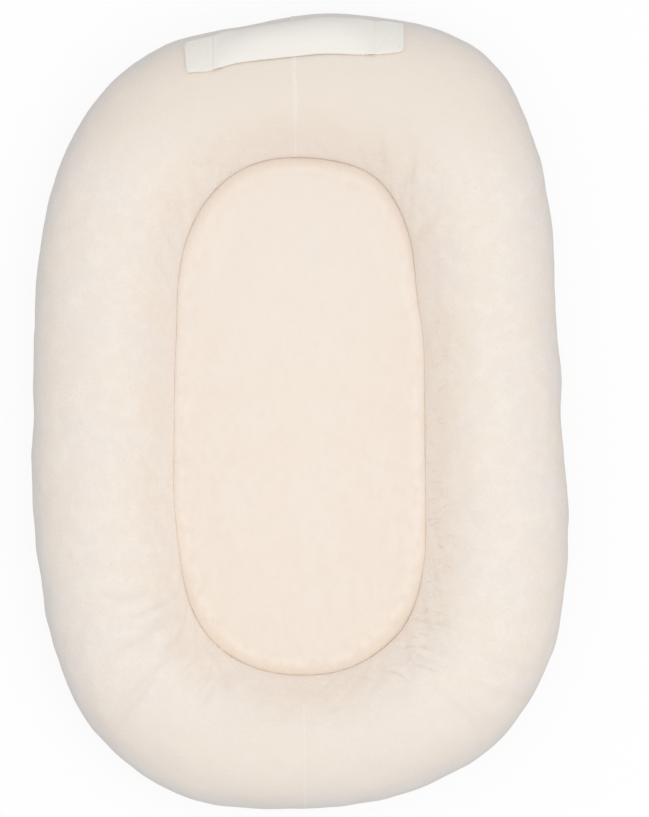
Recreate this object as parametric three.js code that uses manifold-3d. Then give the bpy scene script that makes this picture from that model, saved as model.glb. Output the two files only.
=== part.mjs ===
// Infant lounger: a stuffed ring round a flat pad, in a washable plush cover with a zip underneath
// and a webbing carry handle at the head. Millimetres, +Z up, +Y towards the head, and the origin
// on the floor under the middle of the ring.
import * as THREE from "three";
import { mergeVertices } from "three/addons/utils/BufferGeometryUtils.js";
import Module from "manifold-3d";

const wasm = await Module();
wasm.setup();

// Overall sizes
const lounger_length = 740;
const lounger_width = 500;
const bolster_height = 120;
const pad_length = 483;
const pad_width = 234;
const pad_setback = 5.5; // how much nearer the foot the pad's middle lies

// Cloth, webbing and clearances
const plush_cloth = 2.5;
const pad_cloth = 1.5;
const base_cloth = 1.2;
const casing_cloth = 0.8;
const webbing = 1.6;
const cloth_gap = 0.3; // between neighbouring layers and at every sewn edge
const filling_gap = 0.4; // between a casing and what fills it

// The two loops seen from above: straight sides and rounded ends
const ring_end_length = 240;
const pad_end_length = 141;
const ring_roundness = 2.17; // 2 is an ellipse, more is squarer
const pad_roundness = 2.25;
const ring_taper_share = 0.016; // how much narrower the head is than the middle
const pad_taper_share = 0.02;
const seam_lean_share = -0.0147; // how far the head and foot seams lean, per length

// How the stuffed ring lies: [degrees round from the right side, share of the radius, degrees wide]
const ring_lie_shares = [
  [26, -0.041, 22],
  [65, 0.046, 13],
  [99, -0.018, 8],
  [139, -0.021, 14],
  [217, -0.034, 14],
  [252, 0.022, 10],
  [355, -0.018, 12],
];
const pad_lie_shares = [
  [46, -0.05, 11],
  [72, 0.022, 9],
  [140, -0.014, 16],
  [230, -0.036, 11],
  [298, 0.016, 8],
];

// The ring's section, from the pad's edge outwards
const crown_share = 0.47; // where the top of the ring lies across its width
const widest_height = 52; // height of the ring's outermost point
const pad_seam_height = 42;
const inner_wall_turn = 60; // degrees of arc from the crown down to the pad's seam
const base_seam_turn = 50; // degrees below the outermost point
const hem_depth = 8; // turned-in edges below the pad's seam
const floor_inner_share = 0.28; // the ring stands on the floor from here to under its crown
const tube_side_height = 34; // height of the stuffed tube's innermost point
const tube_heel_turn = 75; // degrees below the outermost point, where the tube bears on the base
const side_round_turn = 50; // degrees round the lower inner side of the tube and of the pad

// The base cloth, raised off the floor in the middle, and the pad above it
const base_rise = 8.5;
const pad_height = 37;
const pad_crown = 3; // rise of its top from the rounded edge to the middle
const crown_ring_share = 0.5; // where a ring of mesh lies between middle and edge
const pad_roll = 22; // width of the pad's rounded top edge
const pad_foot_roll = 14; // width of its rounded bottom edge
const pad_waist_height = 22; // from the pad's underside to its widest point
// A casing's filling slit, in mesh steps: how long it is, and where it lies in each section
const filling_slit = { steps: 3, tube_column: 8, pad_column: 3 };

// Carry handle, on the outer shoulder of the ring at the head
const handle_length = 207;
const handle_width = 44;
const handle_offset = -5.6; // its middle, to the right of the lounger's middle
const handle_end_length = 28; // webbing folded under and sewn down
const handle_bow_height = 8; // how far the middle stands off the cover
const handle_left_turn = 41.2; // degrees above the ring's widest line, at each end's middle
const handle_right_turn = 35.6;
const handle_rise_turn = 8; // how much higher up the shoulder its middle lies
const handle_splay = 20; // degrees between the ring's radial lines at an end and at the middle
const thread_width = 0.9;
const thread_height = 0.5;
const stitch_inset = 4; // from the webbing's edges to the stitched box

// Seam ridges over the ring at the head and the foot
const ridge_width = 3;
const ridge_height = 0.8;

// Zip along the middle of the base cloth, under the pad
const zip_inset = 29.5; // from each end of the pad to the row of teeth
const tape_width = 13;
const tape_thickness = 0.6;
const tape_overrun = 12; // past each end of the teeth
const teeth_gap = 1.2; // between the two rows, where the slider's post runs
const teeth_width = 2.6;
const teeth_thickness = 2.2;
const stop_length = 3;
const stop_wrap = 0.5; // metal round the teeth

// Zip slider and its pull tab
const slider_length = 12.5;
const slider_width = 9.6;
const slider_plate = 1.1;
const slider_gap = 0.25; // running clearance round the teeth and tapes
const slider_flange = 0.9;
const slider_post_length = 3;
const slider_post_width = 0.6;
const slider_corner = 2.4;
const slider_stand_off = 0.5; // from the closed end's stops
const bail_length = 8;
const bail_width = 1.6;
const bail_bar = 1;
const bail_tunnel = 1.8;
const tab_pin = 1; // thickness of the tab's cross bar
const tab_length = 24;
const tab_width = 6.5;
const tab_end_width = 5;
const tab_thickness = 1;
const tab_eye = 4.6; // width of the opening that goes round the bail
const tab_eye_length = 5;
const tab_hole = 1.4; // radius of the hole near the tab's end

// Mesh fineness. The tube takes every other point of the cover's section, so that they nest.
const end_steps = 10; // in each quarter of a rounded end
const side_steps = 2; // in each half of a straight side
const cover_steps = { inner: 6, outer: 6, under: 3 }; // up the inner wall, down outside, and below
const tube_steps = { inner: 3, outer: 3, under: 1 };
const handle_steps = { span: 12, end: 3, width: 4 };
const thread_steps = { along: 2, across: 6 }; // the webbing is curved across its width
const corner_steps = 4; // round each corner of the slider's plates
const head_reach_turn = 80; // degrees each side of the head seam in which the handle's points lie
const fine_turn = 1e-3; // degrees, how closely those points are found

const overrun = 5; // how far cutting bodies reach past what they cut

const degrees = Math.PI / 180;

// Small vector helpers on plain arrays
const add = (a, b, k = 1) => a.map((v, i) => v + k * b[i]);
const length = (a) => Math.hypot(...a);
const unit = (a) => a.map((v) => v / length(a));

// A loop seen from above. A station is {quarter, along, turn}: along the straight half side first,
// then turn degrees round the rounded end. Quarters run from the right side over the head.
function loopPoint(loop, { quarter, along, turn }) {
  const { half_width, half_length, end_length, roundness, taper_share, lie_shares, setback } = loop;
  const power = 2 / roundness;
  const head = quarter < 2 ? 1 : -1;
  const right = quarter === 0 || quarter === 3 ? 1 : -1;
  const straight = half_length - end_length;
  const across = Math.max(0, Math.cos(turn * degrees)) ** power;
  const ahead = Math.sin(turn * degrees) ** power;
  let y = head * (straight * along + end_length * ahead);
  let x = right * half_width * across * (1 - (taper_share * y) / half_length);
  x += seam_lean_share * y * (1 - (x / half_width) ** 2) ** 2;
  y -= setback;
  const angle = Math.atan2(y, x) / degrees;
  let stretch = 1;
  for (const [at, share, wide] of lie_shares) {
    const away = ((((angle - at) % 360) + 540) % 360) - 180;
    stretch += share * Math.exp(-((away / wide) ** 2));
  }
  return [x * stretch, y * stretch];
}

const ring_loop = {
  half_width: lounger_width / 2,
  half_length: lounger_length / 2,
  end_length: ring_end_length,
  roundness: ring_roundness,
  taper_share: ring_taper_share,
  lie_shares: ring_lie_shares,
  setback: 0,
};
const pad_loop = {
  half_width: pad_width / 2,
  half_length: pad_length / 2,
  end_length: pad_end_length,
  roundness: pad_roundness,
  taper_share: pad_taper_share,
  lie_shares: pad_lie_shares,
  setback: pad_setback,
};

// Stations all the way round, from the head seam over the left side to the foot seam and back
function quarterStations(quarter) {
  const stations = [];
  for (let k = 0; k < side_steps; k++) stations.push({ quarter, along: k / side_steps, turn: 0 });
  for (let k = 0; k <= end_steps; k++) stations.push({ quarter, along: 1, turn: (90 * k) / end_steps });
  return stations;
}
const right_head = quarterStations(0);
const left_head = quarterStations(1).reverse();
const left_foot = quarterStations(2);
const right_foot = quarterStations(3).reverse();
const left_stations = [...left_head, ...left_foot.slice(1)];
const right_stations = [...right_foot, ...right_head.slice(1)];
const all_stations = [...left_stations, ...right_stations.slice(1, -1)];

// The ring's own outline is centred on the origin
const outline = all_stations.map((station) => loopPoint(ring_loop, station));
const outline_middle = [0, 1].map((axis) => {
  const values = outline.map((point) => point[axis]);
  return (Math.min(...values) + Math.max(...values)) / 2;
});

// A spoke runs level from the pad's edge to the ring's outermost line
function spokeAt(station) {
  const inner = add(loopPoint(pad_loop, station), outline_middle, -1);
  const outer = add(loopPoint(ring_loop, station), outline_middle, -1);
  const span = add(outer, inner, -1);
  return { inner, width: length(span), way: unit(span) };
}

// Places a point of the ring's section, r out from the pad's edge and z up
const onSpoke = (spoke, [r, z]) => [...add(spoke.inner, spoke.way, r), z];

// Section of the cover's outer face. Upwards of the outermost point turn is positive.
function outerArc(width, turn) {
  const reach = width * (1 - crown_share);
  const rise = turn > 0 ? bolster_height - widest_height : widest_height;
  const sine = Math.sin(turn * degrees);
  const cosine = Math.cos(turn * degrees);
  const point = [width * crown_share + reach * cosine, widest_height + rise * sine];
  return { point, normal: unit([cosine / reach, sine / rise]) };
}

function innerArc(width, turn) {
  const crown = width * crown_share;
  const reach = crown / Math.sin(inner_wall_turn * degrees);
  const rise = (bolster_height - pad_seam_height) / (1 - Math.cos(inner_wall_turn * degrees));
  const sine = Math.sin(turn * degrees);
  const cosine = Math.cos(turn * degrees);
  const point = [crown - reach * sine, bolster_height - rise * (1 - cosine)];
  return { point, normal: unit([-sine / reach, cosine / rise]) };
}

// Points of the cover's section, sunk by depth below the outer face
function coverSection(width, depth, steps) {
  const places = [];
  for (let k = 0; k < steps.inner; k++) places.push(innerArc(width, inner_wall_turn * (1 - k / steps.inner)));
  for (let k = 0; k <= steps.outer; k++) places.push(outerArc(width, 90 * (1 - k / steps.outer)));
  for (let k = 1; k <= steps.under; k++) places.push(outerArc(width, (-base_seam_turn * k) / steps.under));
  return places.map(({ point, normal }) => add(point, normal, -depth));
}

// A body under construction: points and triangles, turned outwards when it is finished
function newBody() {
  const points = [];
  const faces = [];
  const point = (p) => points.push(p) - 1;
  const triangle = (a, b, c) => {
    if (a !== b && b !== c && c !== a) faces.push([a, b, c]);
  };
  const quad = (a, b, c, d) => {
    triangle(a, b, c);
    triangle(a, c, d);
  };
  const geometry = () => {
    let volume = 0;
    for (const [a, b, c] of faces) {
      const [p, q, r] = [points[a], points[b], points[c]];
      volume += p[0] * (q[1] * r[2] - q[2] * r[1]);
      volume += p[1] * (q[2] * r[0] - q[0] * r[2]);
      volume += p[2] * (q[0] * r[1] - q[1] * r[0]);
    }
    const outwards = volume > 0 ? faces : faces.map(([a, b, c]) => [a, c, b]);
    const made = new THREE.BufferGeometry();
    made.setAttribute("position", new THREE.Float32BufferAttribute(points.flat(), 3));
    made.setIndex(outwards.flat());
    return made;
  };
  return { point, quad, geometry };
}

// Adds a grid of points as a surface. around and across say which way it closes on itself, poles
// which of its edge columns are one point, slit which quads to leave out, and flip its facing.
function addSurface(body, rows, { around, across, poles = [], slit, flip }) {
  const last = rows[0].length - 1;
  const pole = {};
  for (const j of poles) pole[j] = body.point(rows[0][j]);
  const index = rows.map((row) => row.map((p, j) => (j in pole ? pole[j] : body.point(p))));
  const i_count = around ? rows.length : rows.length - 1;
  const j_count = across ? last + 1 : last;
  for (let i = 0; i < i_count; i++) {
    for (let j = 0; j < j_count; j++) {
      if (slit && i < slit.steps && j === slit.column) continue;
      const [a, b] = [index[i], index[(i + 1) % rows.length]];
      const next = (j + 1) % (last + 1);
      if (flip) body.quad(a[j], a[next], b[next], b[j]);
      else body.quad(a[j], b[j], b[next], a[next]);
    }
  }
  return index;
}

// A sheet of cloth with an outer and an inner face. It closes around itself or ends in two edges.
function sheetBody(outer, inner, { around, pole }) {
  const body = newBody();
  const last = outer[0].length - 1;
  const poles = pole ? [last] : [];
  const out = addSurface(body, outer, { around, poles });
  const back = addSurface(body, inner, { around, poles, flip: true });
  const count = around ? outer.length : outer.length - 1;
  for (let i = 0; i < count; i++) {
    const n = (i + 1) % outer.length;
    body.quad(out[i][0], back[i][0], back[n][0], out[n][0]);
    if (!pole) body.quad(out[i][last], out[n][last], back[n][last], back[i][last]);
  }
  if (!around) {
    for (const [i, start] of [[0, true], [outer.length - 1, false]]) {
      for (let j = 0; j < last; j++) {
        if (start) body.quad(out[i][j], out[i][j + 1], back[i][j + 1], back[i][j]);
        else body.quad(out[i][j], back[i][j], back[i][j + 1], out[i][j + 1]);
      }
    }
  }
  return body.geometry();
}

// A sewn casing: a closed skin with a thickness, open only at its filling slit
function casingBody(outer, inner, { across, poles, column }) {
  const body = newBody();
  const slit = { steps: filling_slit.steps, column };
  const out = addSurface(body, outer, { around: true, across, poles, slit });
  const back = addSurface(body, inner, { around: true, across, poles, slit, flip: true });
  const next = column + 1;
  for (let i = 0; i < slit.steps; i++) {
    body.quad(out[i][column], out[i + 1][column], back[i + 1][column], back[i][column]);
    body.quad(out[i + 1][next], out[i][next], back[i][next], back[i + 1][next]);
  }
  body.quad(out[0][next], out[0][column], back[0][column], back[0][next]);
  const end = slit.steps;
  body.quad(out[end][column], out[end][next], back[end][next], back[end][column]);
  return body.geometry();
}

function solidBody(rows, { across, poles }) {
  const body = newBody();
  addSurface(body, rows, { around: true, across, poles });
  return body.geometry();
}

// three.js geometry to a manifold-3d solid and back
function toSolid(geometry) {
  const plain = geometry.clone();
  plain.deleteAttribute("normal");
  plain.deleteAttribute("uv");
  const merged = mergeVertices(plain.index ? plain.toNonIndexed() : plain);
  const vertProperties = new Float32Array(merged.attributes.position.array);
  const triVerts = new Uint32Array(merged.index.array);
  return new wasm.Manifold(new wasm.Mesh({ numProp: 3, vertProperties, triVerts }));
}

function toGeometry(solid) {
  const mesh = solid.getMesh();
  const vertices = new Float32Array(mesh.vertProperties);
  const made = new THREE.BufferGeometry();
  made.setAttribute("position", new THREE.BufferAttribute(vertices, mesh.numProp));
  made.setIndex(new THREE.BufferAttribute(new Uint32Array(mesh.triVerts), 1));
  return made;
}

const joined = (geometries) => toGeometry(geometries.map(toSolid).reduce((a, b) => a.add(b)));

// A box between any two opposite corners
function boxBetween(corner, opposite) {
  const size = corner.map((v, i) => Math.abs(opposite[i] - v));
  const middle = corner.map((v, i) => (v + opposite[i]) / 2);
  return new THREE.BoxGeometry(...size).translate(...middle);
}

// Ring covers: one half each side, from the head seam to the foot seam, hemmed at the pad's edge
function ringCover(stations) {
  const faces = [0, plush_cloth].map((depth) =>
    stations.map((station, i) => {
      const spoke = spokeAt(station);
      const section = coverSection(spoke.width - cloth_gap / 2, depth, cover_steps);
      const hem = [depth, pad_seam_height - hem_depth];
      const side = stations === left_stations ? -1 : 1;
      const at_seam = i === 0 || i === stations.length - 1;
      return [hem, ...section].map(([r, z]) => {
        const [x, y, height] = onSpoke(spoke, [r + cloth_gap / 2, z]);
        return [at_seam ? x + (side * cloth_gap) / 2 : x, y, height];
      });
    }),
  );
  return sheetBody(faces[0], faces[1], { around: false, pole: false });
}

// Stuffed tube: follows the inside of the cover, stands on the base cloth and rounds up to the pad
function tubeRows(inset) {
  return all_stations.map((station) => {
    const spoke = spokeAt(station);
    const { width } = spoke;
    const under_cover = plush_cloth + cloth_gap + filling_gap + inset;
    const on_base = base_cloth + cloth_gap + inset;
    const section = coverSection(width, under_cover, tube_steps);
    const floor_inner = width * floor_inner_share;
    const reach = floor_inner - under_cover;
    const drop = tube_side_height - on_base;
    const sine = Math.sin(side_round_turn * degrees);
    const cosine = Math.cos(side_round_turn * degrees);
    const under = [
      add(outerArc(width, -tube_heel_turn).point, [0, on_base]),
      [width * crown_share, on_base],
      [floor_inner, on_base],
      [floor_inner - reach * sine, tube_side_height - drop * cosine],
      [floor_inner - reach, tube_side_height],
    ];
    return [...section, ...under].map((point) => onSpoke(spoke, point));
  });
}

// Draws a loop inside the pad's edge, q in from it
function insetPoint(station, [q, z]) {
  const edge = loopPoint(pad_loop, station);
  const across = edge[0] * (1 - q / pad_loop.half_width);
  const ahead = (edge[1] + pad_setback) * (1 - q / pad_loop.half_length) - pad_setback;
  return [...add([across, ahead], outline_middle, -1), z];
}

const pad_middle = [-outline_middle[0], -pad_setback - outline_middle[1]];
const roll_shares = [0.07, 0.24, 0.52, 1]; // of the pad's rounded edge, inwards

// Heights across the zip, up from the base cloth's lower face
const tape_under = base_cloth + cloth_gap;
const tape_top = tape_under + tape_thickness;
const teeth_top = tape_under - cloth_gap;
const teeth_under = teeth_top - teeth_thickness;
const inner_plate_under = tape_top + slider_gap;
const inner_plate_top = inner_plate_under + slider_plate;
const outer_plate_top = teeth_under - slider_gap;
const outer_plate_under = outer_plate_top - slider_plate;
const pin_drop = outer_plate_under - bail_tunnel / 2; // height of the pull tab's axis

// The pad clears the slider, and the panel covers the pad
const pad_underside = base_rise + inner_plate_top + cloth_gap;
const pad_top = pad_underside + pad_height;
const panel_top = pad_top + cloth_gap + pad_cloth;

// The crowned top inside the rounded edge, as one more ring of mesh and the middle
const crown_ring_inset = (pad_width / 2) * (1 - crown_ring_share);
const crown_ring_rise = pad_crown * (1 - crown_ring_share ** 2);
const crownRing = (top) => [crown_ring_inset, top + crown_ring_rise];
const crownMiddle = (top) => [...pad_middle, top + pad_crown];

// Sleep surface: the panel over the pad, its edge rolled down to the seam and hemmed below it
function centrePanel() {
  const rise = panel_top - pad_seam_height;
  const lift = (share) => pad_seam_height + rise * Math.sqrt(1 - (1 - share) ** 2);
  const edge = cloth_gap / 2;
  const within = edge + pad_cloth;
  const outer_section = [
    [edge, pad_seam_height - hem_depth],
    [edge, pad_seam_height],
    ...roll_shares.map((share) => [edge + pad_roll * share, lift(share)]),
    crownRing(panel_top),
  ];
  const inner_section = [
    [within, pad_seam_height - hem_depth],
    [within, pad_seam_height - pad_cloth / 2],
    ...roll_shares.map((share) => [within + (pad_roll - pad_cloth) * share, lift(share) - pad_cloth]),
    crownRing(panel_top - pad_cloth),
  ];
  const faces = [outer_section, inner_section].map((section, k) => {
    const middle = crownMiddle(panel_top - k * pad_cloth);
    return all_stations.map((station) => [...section.map((point) => insetPoint(station, point)), middle]);
  });
  return sheetBody(faces[0], faces[1], { around: true, pole: true });
}

// The pad, from the middle of its underside round its edge to the middle of its top
function padRows(inset) {
  const side = pad_cloth + 2 * cloth_gap + inset;
  const bottom = pad_underside + inset;
  const top = pad_top - inset;
  const waist = pad_underside + pad_waist_height;
  const shoulder = pad_seam_height - hem_depth - cloth_gap;
  const sine = Math.sin(side_round_turn * degrees);
  const cosine = Math.cos(side_round_turn * degrees);
  const section = [
    [pad_foot_roll + inset, bottom],
    [side + (pad_foot_roll - side) * (1 - sine), waist - (waist - bottom) * cosine],
    [side, waist],
    [side, shoulder],
    ...roll_shares.slice(1).map((share) => {
      const rise = (top - shoulder) * Math.sqrt(1 - (1 - share) ** 2);
      return [side + (pad_roll - pad_cloth) * share, shoulder + rise - (pad_cloth + cloth_gap) * (1 - share)];
    }),
    crownRing(top),
  ];
  const under_middle = [...pad_middle, bottom];
  return all_stations.map((station) => {
    const round = section.map((point) => insetPoint(station, point));
    return [under_middle, ...round, crownMiddle(top)];
  });
}

// The whole base cloth, from the base seam under the ring to the middle
function baseSheet() {
  const faces = [0, base_cloth].map((depth) =>
    all_stations.map((station) => {
      const spoke = spokeAt(station);
      const { width } = spoke;
      const seam_turn = base_seam_turn + cloth_gap / widest_height / degrees;
      const arc = [0, 1, 2].map((k) => {
        const { point, normal } = outerArc(width, -seam_turn - ((90 - seam_turn) * k) / 3);
        return add(point, normal, -depth);
      });
      const under = [
        [width * crown_share, depth],
        [width * floor_inner_share, depth],
        [0, base_rise + depth],
      ];
      const middle = [...pad_middle, base_rise + depth];
      return [...[...arc, ...under].map((point) => onSpoke(spoke, point)), middle];
    }),
  );
  return sheetBody(faces[0], faces[1], { around: true, pole: true });
}

// How each section closes on itself: right round, or at the middle below and above
const tube_closing = { across: true, poles: [] };
const pad_closing = { across: false, poles: [0, padRows(0)[0].length - 1] };

const casing = (rows, closing, column) => casingBody(rows(0), rows(casing_cloth), { ...closing, column });
const filling = (rows, closing) => solidBody(rows(casing_cloth + filling_gap), closing);

const zip_half = pad_length / 2 - zip_inset;

// Each half of the base cloth stops at the zip, and beyond its ends meets the other half
function basePanel(side) {
  const low = [side < 0 ? -lounger_width : cloth_gap / 2, -lounger_length, -overrun];
  const high = [side < 0 ? -cloth_gap / 2 : lounger_width, lounger_length, bolster_height];
  const half = boxBetween(low, high).translate(pad_middle[0], 0, 0);
  const reach = slider_width / 2 + cloth_gap;
  const window_half = zip_half + stop_length + 2 * cloth_gap;
  const window = boxBetween(
    [pad_middle[0] - reach, pad_middle[1] - window_half, base_rise - overrun],
    [pad_middle[0] + reach, pad_middle[1] + window_half, base_rise + overrun],
  );
  return toGeometry(toSolid(baseSheet()).intersect(toSolid(half)).subtract(toSolid(window)));
}

// A narrow ridge where the two ring covers are sewn together, from just above the pad's seam
function seamRidge(station) {
  const spoke = spokeAt(station);
  const lifts = [-cloth_gap, -cloth_gap - ridge_height];
  const sections = lifts.map((depth) => coverSection(spoke.width, depth, cover_steps).slice(1));
  const faces = sections.map((section) =>
    [-1, 1].map((side) =>
      section.map((point) => {
        const [x, y, z] = onSpoke(spoke, point);
        return [x + (side * ridge_width) / 2, y, z];
      }),
    ),
  );
  return sheetBody(faces[1], faces[0], { around: false, pole: false });
}

// A point over the ring's shoulder at the head: finds the spoke on which the surface has that x
function shoulderAt(x, turn, lift) {
  const pointOf = (away) => {
    const spoke = spokeAt({ quarter: away < 0 ? 1 : 0, along: 1, turn: 90 - Math.abs(away) });
    const { point, normal } = outerArc(spoke.width, turn);
    return onSpoke(spoke, add(point, normal, lift));
  };
  let [low, high] = [-head_reach_turn, head_reach_turn];
  while (high - low > fine_turn) {
    const middle = (low + high) / 2;
    if (pointOf(middle)[0] < x) low = middle;
    else high = middle;
  }
  return pointOf((low + high) / 2);
}

// A point of the handle: u from -1 at its left end to 1, v across its width from -1/2, lift off the cover
function handlePoint(u, v, lift) {
  const shoulder = bolster_height - widest_height;
  const ends_turn = handle_left_turn + ((handle_right_turn - handle_left_turn) * (u + 1)) / 2;
  const line_turn = ends_turn + handle_rise_turn * (1 - u ** 2) * (1 + u);
  const across = handle_width * Math.cos(handle_splay * u * degrees);
  const turn = line_turn + (v * across) / shoulder / degrees;
  return shoulderAt(handle_offset + (u * handle_length) / 2, turn, lift);
}

const handle_span_end = 1 - (2 * handle_end_length) / handle_length;
const handleBowAt = (u) => handle_bow_height * (1 - (u / handle_span_end) ** 4) ** 2;

// Webbing from u to u, between two heights over the cover given as functions of u
function webbingBody(from, to, steps, under, over) {
  const faces = [over, under].map((height) => {
    const rows = [];
    for (let i = 0; i <= steps; i++) {
      const u = from + ((to - from) * i) / steps;
      const row = [];
      for (let j = 0; j <= handle_steps.width; j++) {
        row.push(handlePoint(u, j / handle_steps.width - 0.5, height(u)));
      }
      rows.push(row);
    }
    return rows;
  });
  return sheetBody(faces[0], faces[1], { around: false, pole: false });
}

function handleSpan() {
  const reach = handle_span_end - (2 * cloth_gap) / handle_length;
  const under = (u) => cloth_gap + webbing + handleBowAt(u);
  return webbingBody(-reach, reach, handle_steps.span, under, (u) => under(u) + webbing);
}

function handleEnd(side) {
  const [from, to] = [side * handle_span_end, side].sort((a, b) => a - b);
  const over = cloth_gap + 2 * webbing;
  return webbingBody(from, to, handle_steps.end, () => cloth_gap, () => over);
}

// A line of thread on a sewn-down end, between two points of the handle
function threadBar([u0, v0], [u1, v1]) {
  const steps = v0 === v1 ? thread_steps.along : thread_steps.across;
  const side = unit([(v1 - v0) * handle_width, (-(u1 - u0) * handle_length) / 2]);
  const low = cloth_gap + 2 * webbing + cloth_gap;
  const faces = [low + thread_height, low].map((height) => {
    const rows = [];
    for (let i = 0; i <= steps; i++) {
      const row = [-1, 1].map((k) => {
        const u = u0 + ((u1 - u0) * i) / steps + (k * side[0] * thread_width) / handle_length;
        const v = v0 + ((v1 - v0) * i) / steps + (k * side[1] * thread_width) / 2 / handle_width;
        return handlePoint(u, v, height);
      });
      rows.push(row);
    }
    return rows;
  });
  return sheetBody(faces[0], faces[1], { around: false, pole: false });
}

// A box and a cross of stitches that hold one end of the handle down
function handleStitching(side) {
  const inset_u = (2 * stitch_inset) / handle_length;
  const inner = side * (handle_span_end + inset_u);
  const outer = side * (1 - inset_u);
  const v = 0.5 - stitch_inset / handle_width;
  const corners = [[inner, -v], [outer, -v], [outer, v], [inner, v]];
  const bars = corners.map((corner, k) => threadBar(corner, corners[(k + 1) % 4]));
  bars.push(threadBar(corners[0], corners[2]), threadBar(corners[1], corners[3]));
  return joined(bars);
}

// Zip, in its own frame: y along it from its middle, z up from the base cloth's lower face. The
// tapes lie inside the cover, and the teeth hang in the slot between the two base panels.
function zipTape(side) {
  const reach = zip_half + tape_overrun;
  const inner = (side * teeth_gap) / 2;
  const outer = side * (teeth_gap / 2 + tape_width);
  return boxBetween([inner, -reach, tape_under], [outer, reach, tape_top]);
}

function zipTeeth(side) {
  const inner = (side * teeth_gap) / 2;
  const outer = side * (teeth_gap / 2 + teeth_width);
  return boxBetween([inner, -zip_half, teeth_under], [outer, zip_half, teeth_top]);
}

// Stops clamp the tapes just past the teeth: one on each tape where it closes, one on both at the other end
function zipStop(low_x, high_x, start_y) {
  const low = [low_x, start_y, teeth_under - stop_wrap];
  return boxBetween(low, [high_x, start_y + stop_length, tape_under - slider_gap]);
}

const top_stop_y = -zip_half - cloth_gap - stop_length;
const bottom_stop_y = zip_half + cloth_gap;
const stop_outer = teeth_gap / 2 + teeth_width + stop_wrap;

// Slider plates seen from below, with round corners
function plateShape(length, width, corner) {
  const [x, y] = [width / 2, length / 2];
  const shape = new THREE.Shape();
  shape.moveTo(-x + corner, -y);
  shape.lineTo(x - corner, -y);
  shape.absarc(x - corner, -y + corner, corner, -Math.PI / 2, 0);
  shape.lineTo(x, y - corner);
  shape.absarc(x - corner, y - corner, corner, 0, Math.PI / 2);
  shape.lineTo(-x + corner, y);
  shape.absarc(-x + corner, y - corner, corner, Math.PI / 2, Math.PI);
  shape.lineTo(-x, -y + corner);
  shape.absarc(-x + corner, -y + corner, corner, Math.PI, Math.PI * 1.5);
  return shape;
}

function extruded(shape, low_z, high_z) {
  const settings = { depth: high_z - low_z, bevelEnabled: false, curveSegments: corner_steps };
  return new THREE.ExtrudeGeometry(shape, settings).translate(0, 0, low_z);
}

// Slider: two plates on a post that runs between the rows, flanges that hold the teeth, and a bail.
// The post is at the foot end, where the rows come in apart as it closes.
function zipSlider() {
  const plate = plateShape(slider_length, slider_width, slider_corner);
  const parts = [
    extruded(plate, outer_plate_under, outer_plate_top),
    extruded(plate, inner_plate_under, inner_plate_top),
  ];
  const sink = slider_plate / 4; // how far joined pieces run into the plates
  const post_x = slider_post_width / 2;
  const post_y = slider_post_length / 2 - slider_length / 2;
  const post_foot = [-post_x, post_y, outer_plate_top - sink];
  parts.push(boxBetween(post_foot, [post_x, post_y + slider_post_length, inner_plate_under + sink]));
  const flange_y = slider_length / 2 - slider_corner;
  const flange_top = tape_under - slider_gap;
  const [bail_x, bail_y] = [bail_width / 2, bail_length / 2];
  const bail_under = outer_plate_under - bail_tunnel - bail_bar;
  parts.push(boxBetween([-bail_x, -bail_y, bail_under], [bail_x, bail_y, bail_under + bail_bar]));
  for (const side of [-1, 1]) {
    const outer = (side * slider_width) / 2;
    const inner = outer - side * slider_flange;
    parts.push(boxBetween([inner, -flange_y, outer_plate_top - sink], [outer, flange_y, flange_top]));
    const leg_y = side * (bail_y - bail_bar);
    const leg_foot = [-bail_x, side * bail_y, bail_under + sink];
    parts.push(boxBetween(leg_foot, [bail_x, leg_y, outer_plate_under + sink]));
  }
  return joined(parts);
}

// Pull tab, lying towards the head from its axis: an eye round the bail, closed by a cross bar
function zipPullTab() {
  const half = tab_pin / 2;
  const shape = new THREE.Shape();
  shape.moveTo(tab_width / 2, -half);
  shape.lineTo(tab_end_width / 2, tab_length - half);
  shape.absarc(0, tab_length - half, tab_end_width / 2, 0, Math.PI);
  shape.lineTo(-tab_width / 2, -half);
  shape.closePath();
  const eye = new THREE.Path();
  eye.moveTo(-tab_eye / 2, half);
  eye.lineTo(tab_eye / 2, half);
  eye.lineTo(tab_eye / 2, half + tab_eye_length);
  eye.lineTo(-tab_eye / 2, half + tab_eye_length);
  eye.closePath();
  const hole = new THREE.Path();
  hole.absarc(0, tab_length - half, tab_hole, 0, 2 * Math.PI);
  shape.holes.push(eye, hole);
  return extruded(shape, -tab_thickness / 2, tab_thickness / 2);
}

// Finishes
const plush = { color: 0xeee3d7, roughness: 0.95, metalness: 0 };
const velour = { color: 0xf2e7d8, roughness: 0.9, metalness: 0 };
const calico = { color: 0xefe7da, roughness: 0.9, metalness: 0 };
const cotton = { color: 0xeceae2, roughness: 0.85, metalness: 0 };
const twill = { color: 0xece8e2, roughness: 0.8, metalness: 0 };
const thread = { color: 0xf3efe8, roughness: 0.6, metalness: 0 };
const fibre = { color: 0xf6f5f1, roughness: 1, metalness: 0 };
const foam = { color: 0xf4efdf, roughness: 1, metalness: 0 };
const nylon = { color: 0xf0eee6, roughness: 0.5, metalness: 0 };
const zinc = { color: 0xd9d8d4, roughness: 0.35, metalness: 0.9 };

function named(name, geometry, finish) {
  const mesh = new THREE.Mesh(geometry, new THREE.MeshStandardMaterial(finish));
  mesh.name = name;
  return mesh;
}

const lounger = new THREE.Group();

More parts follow.
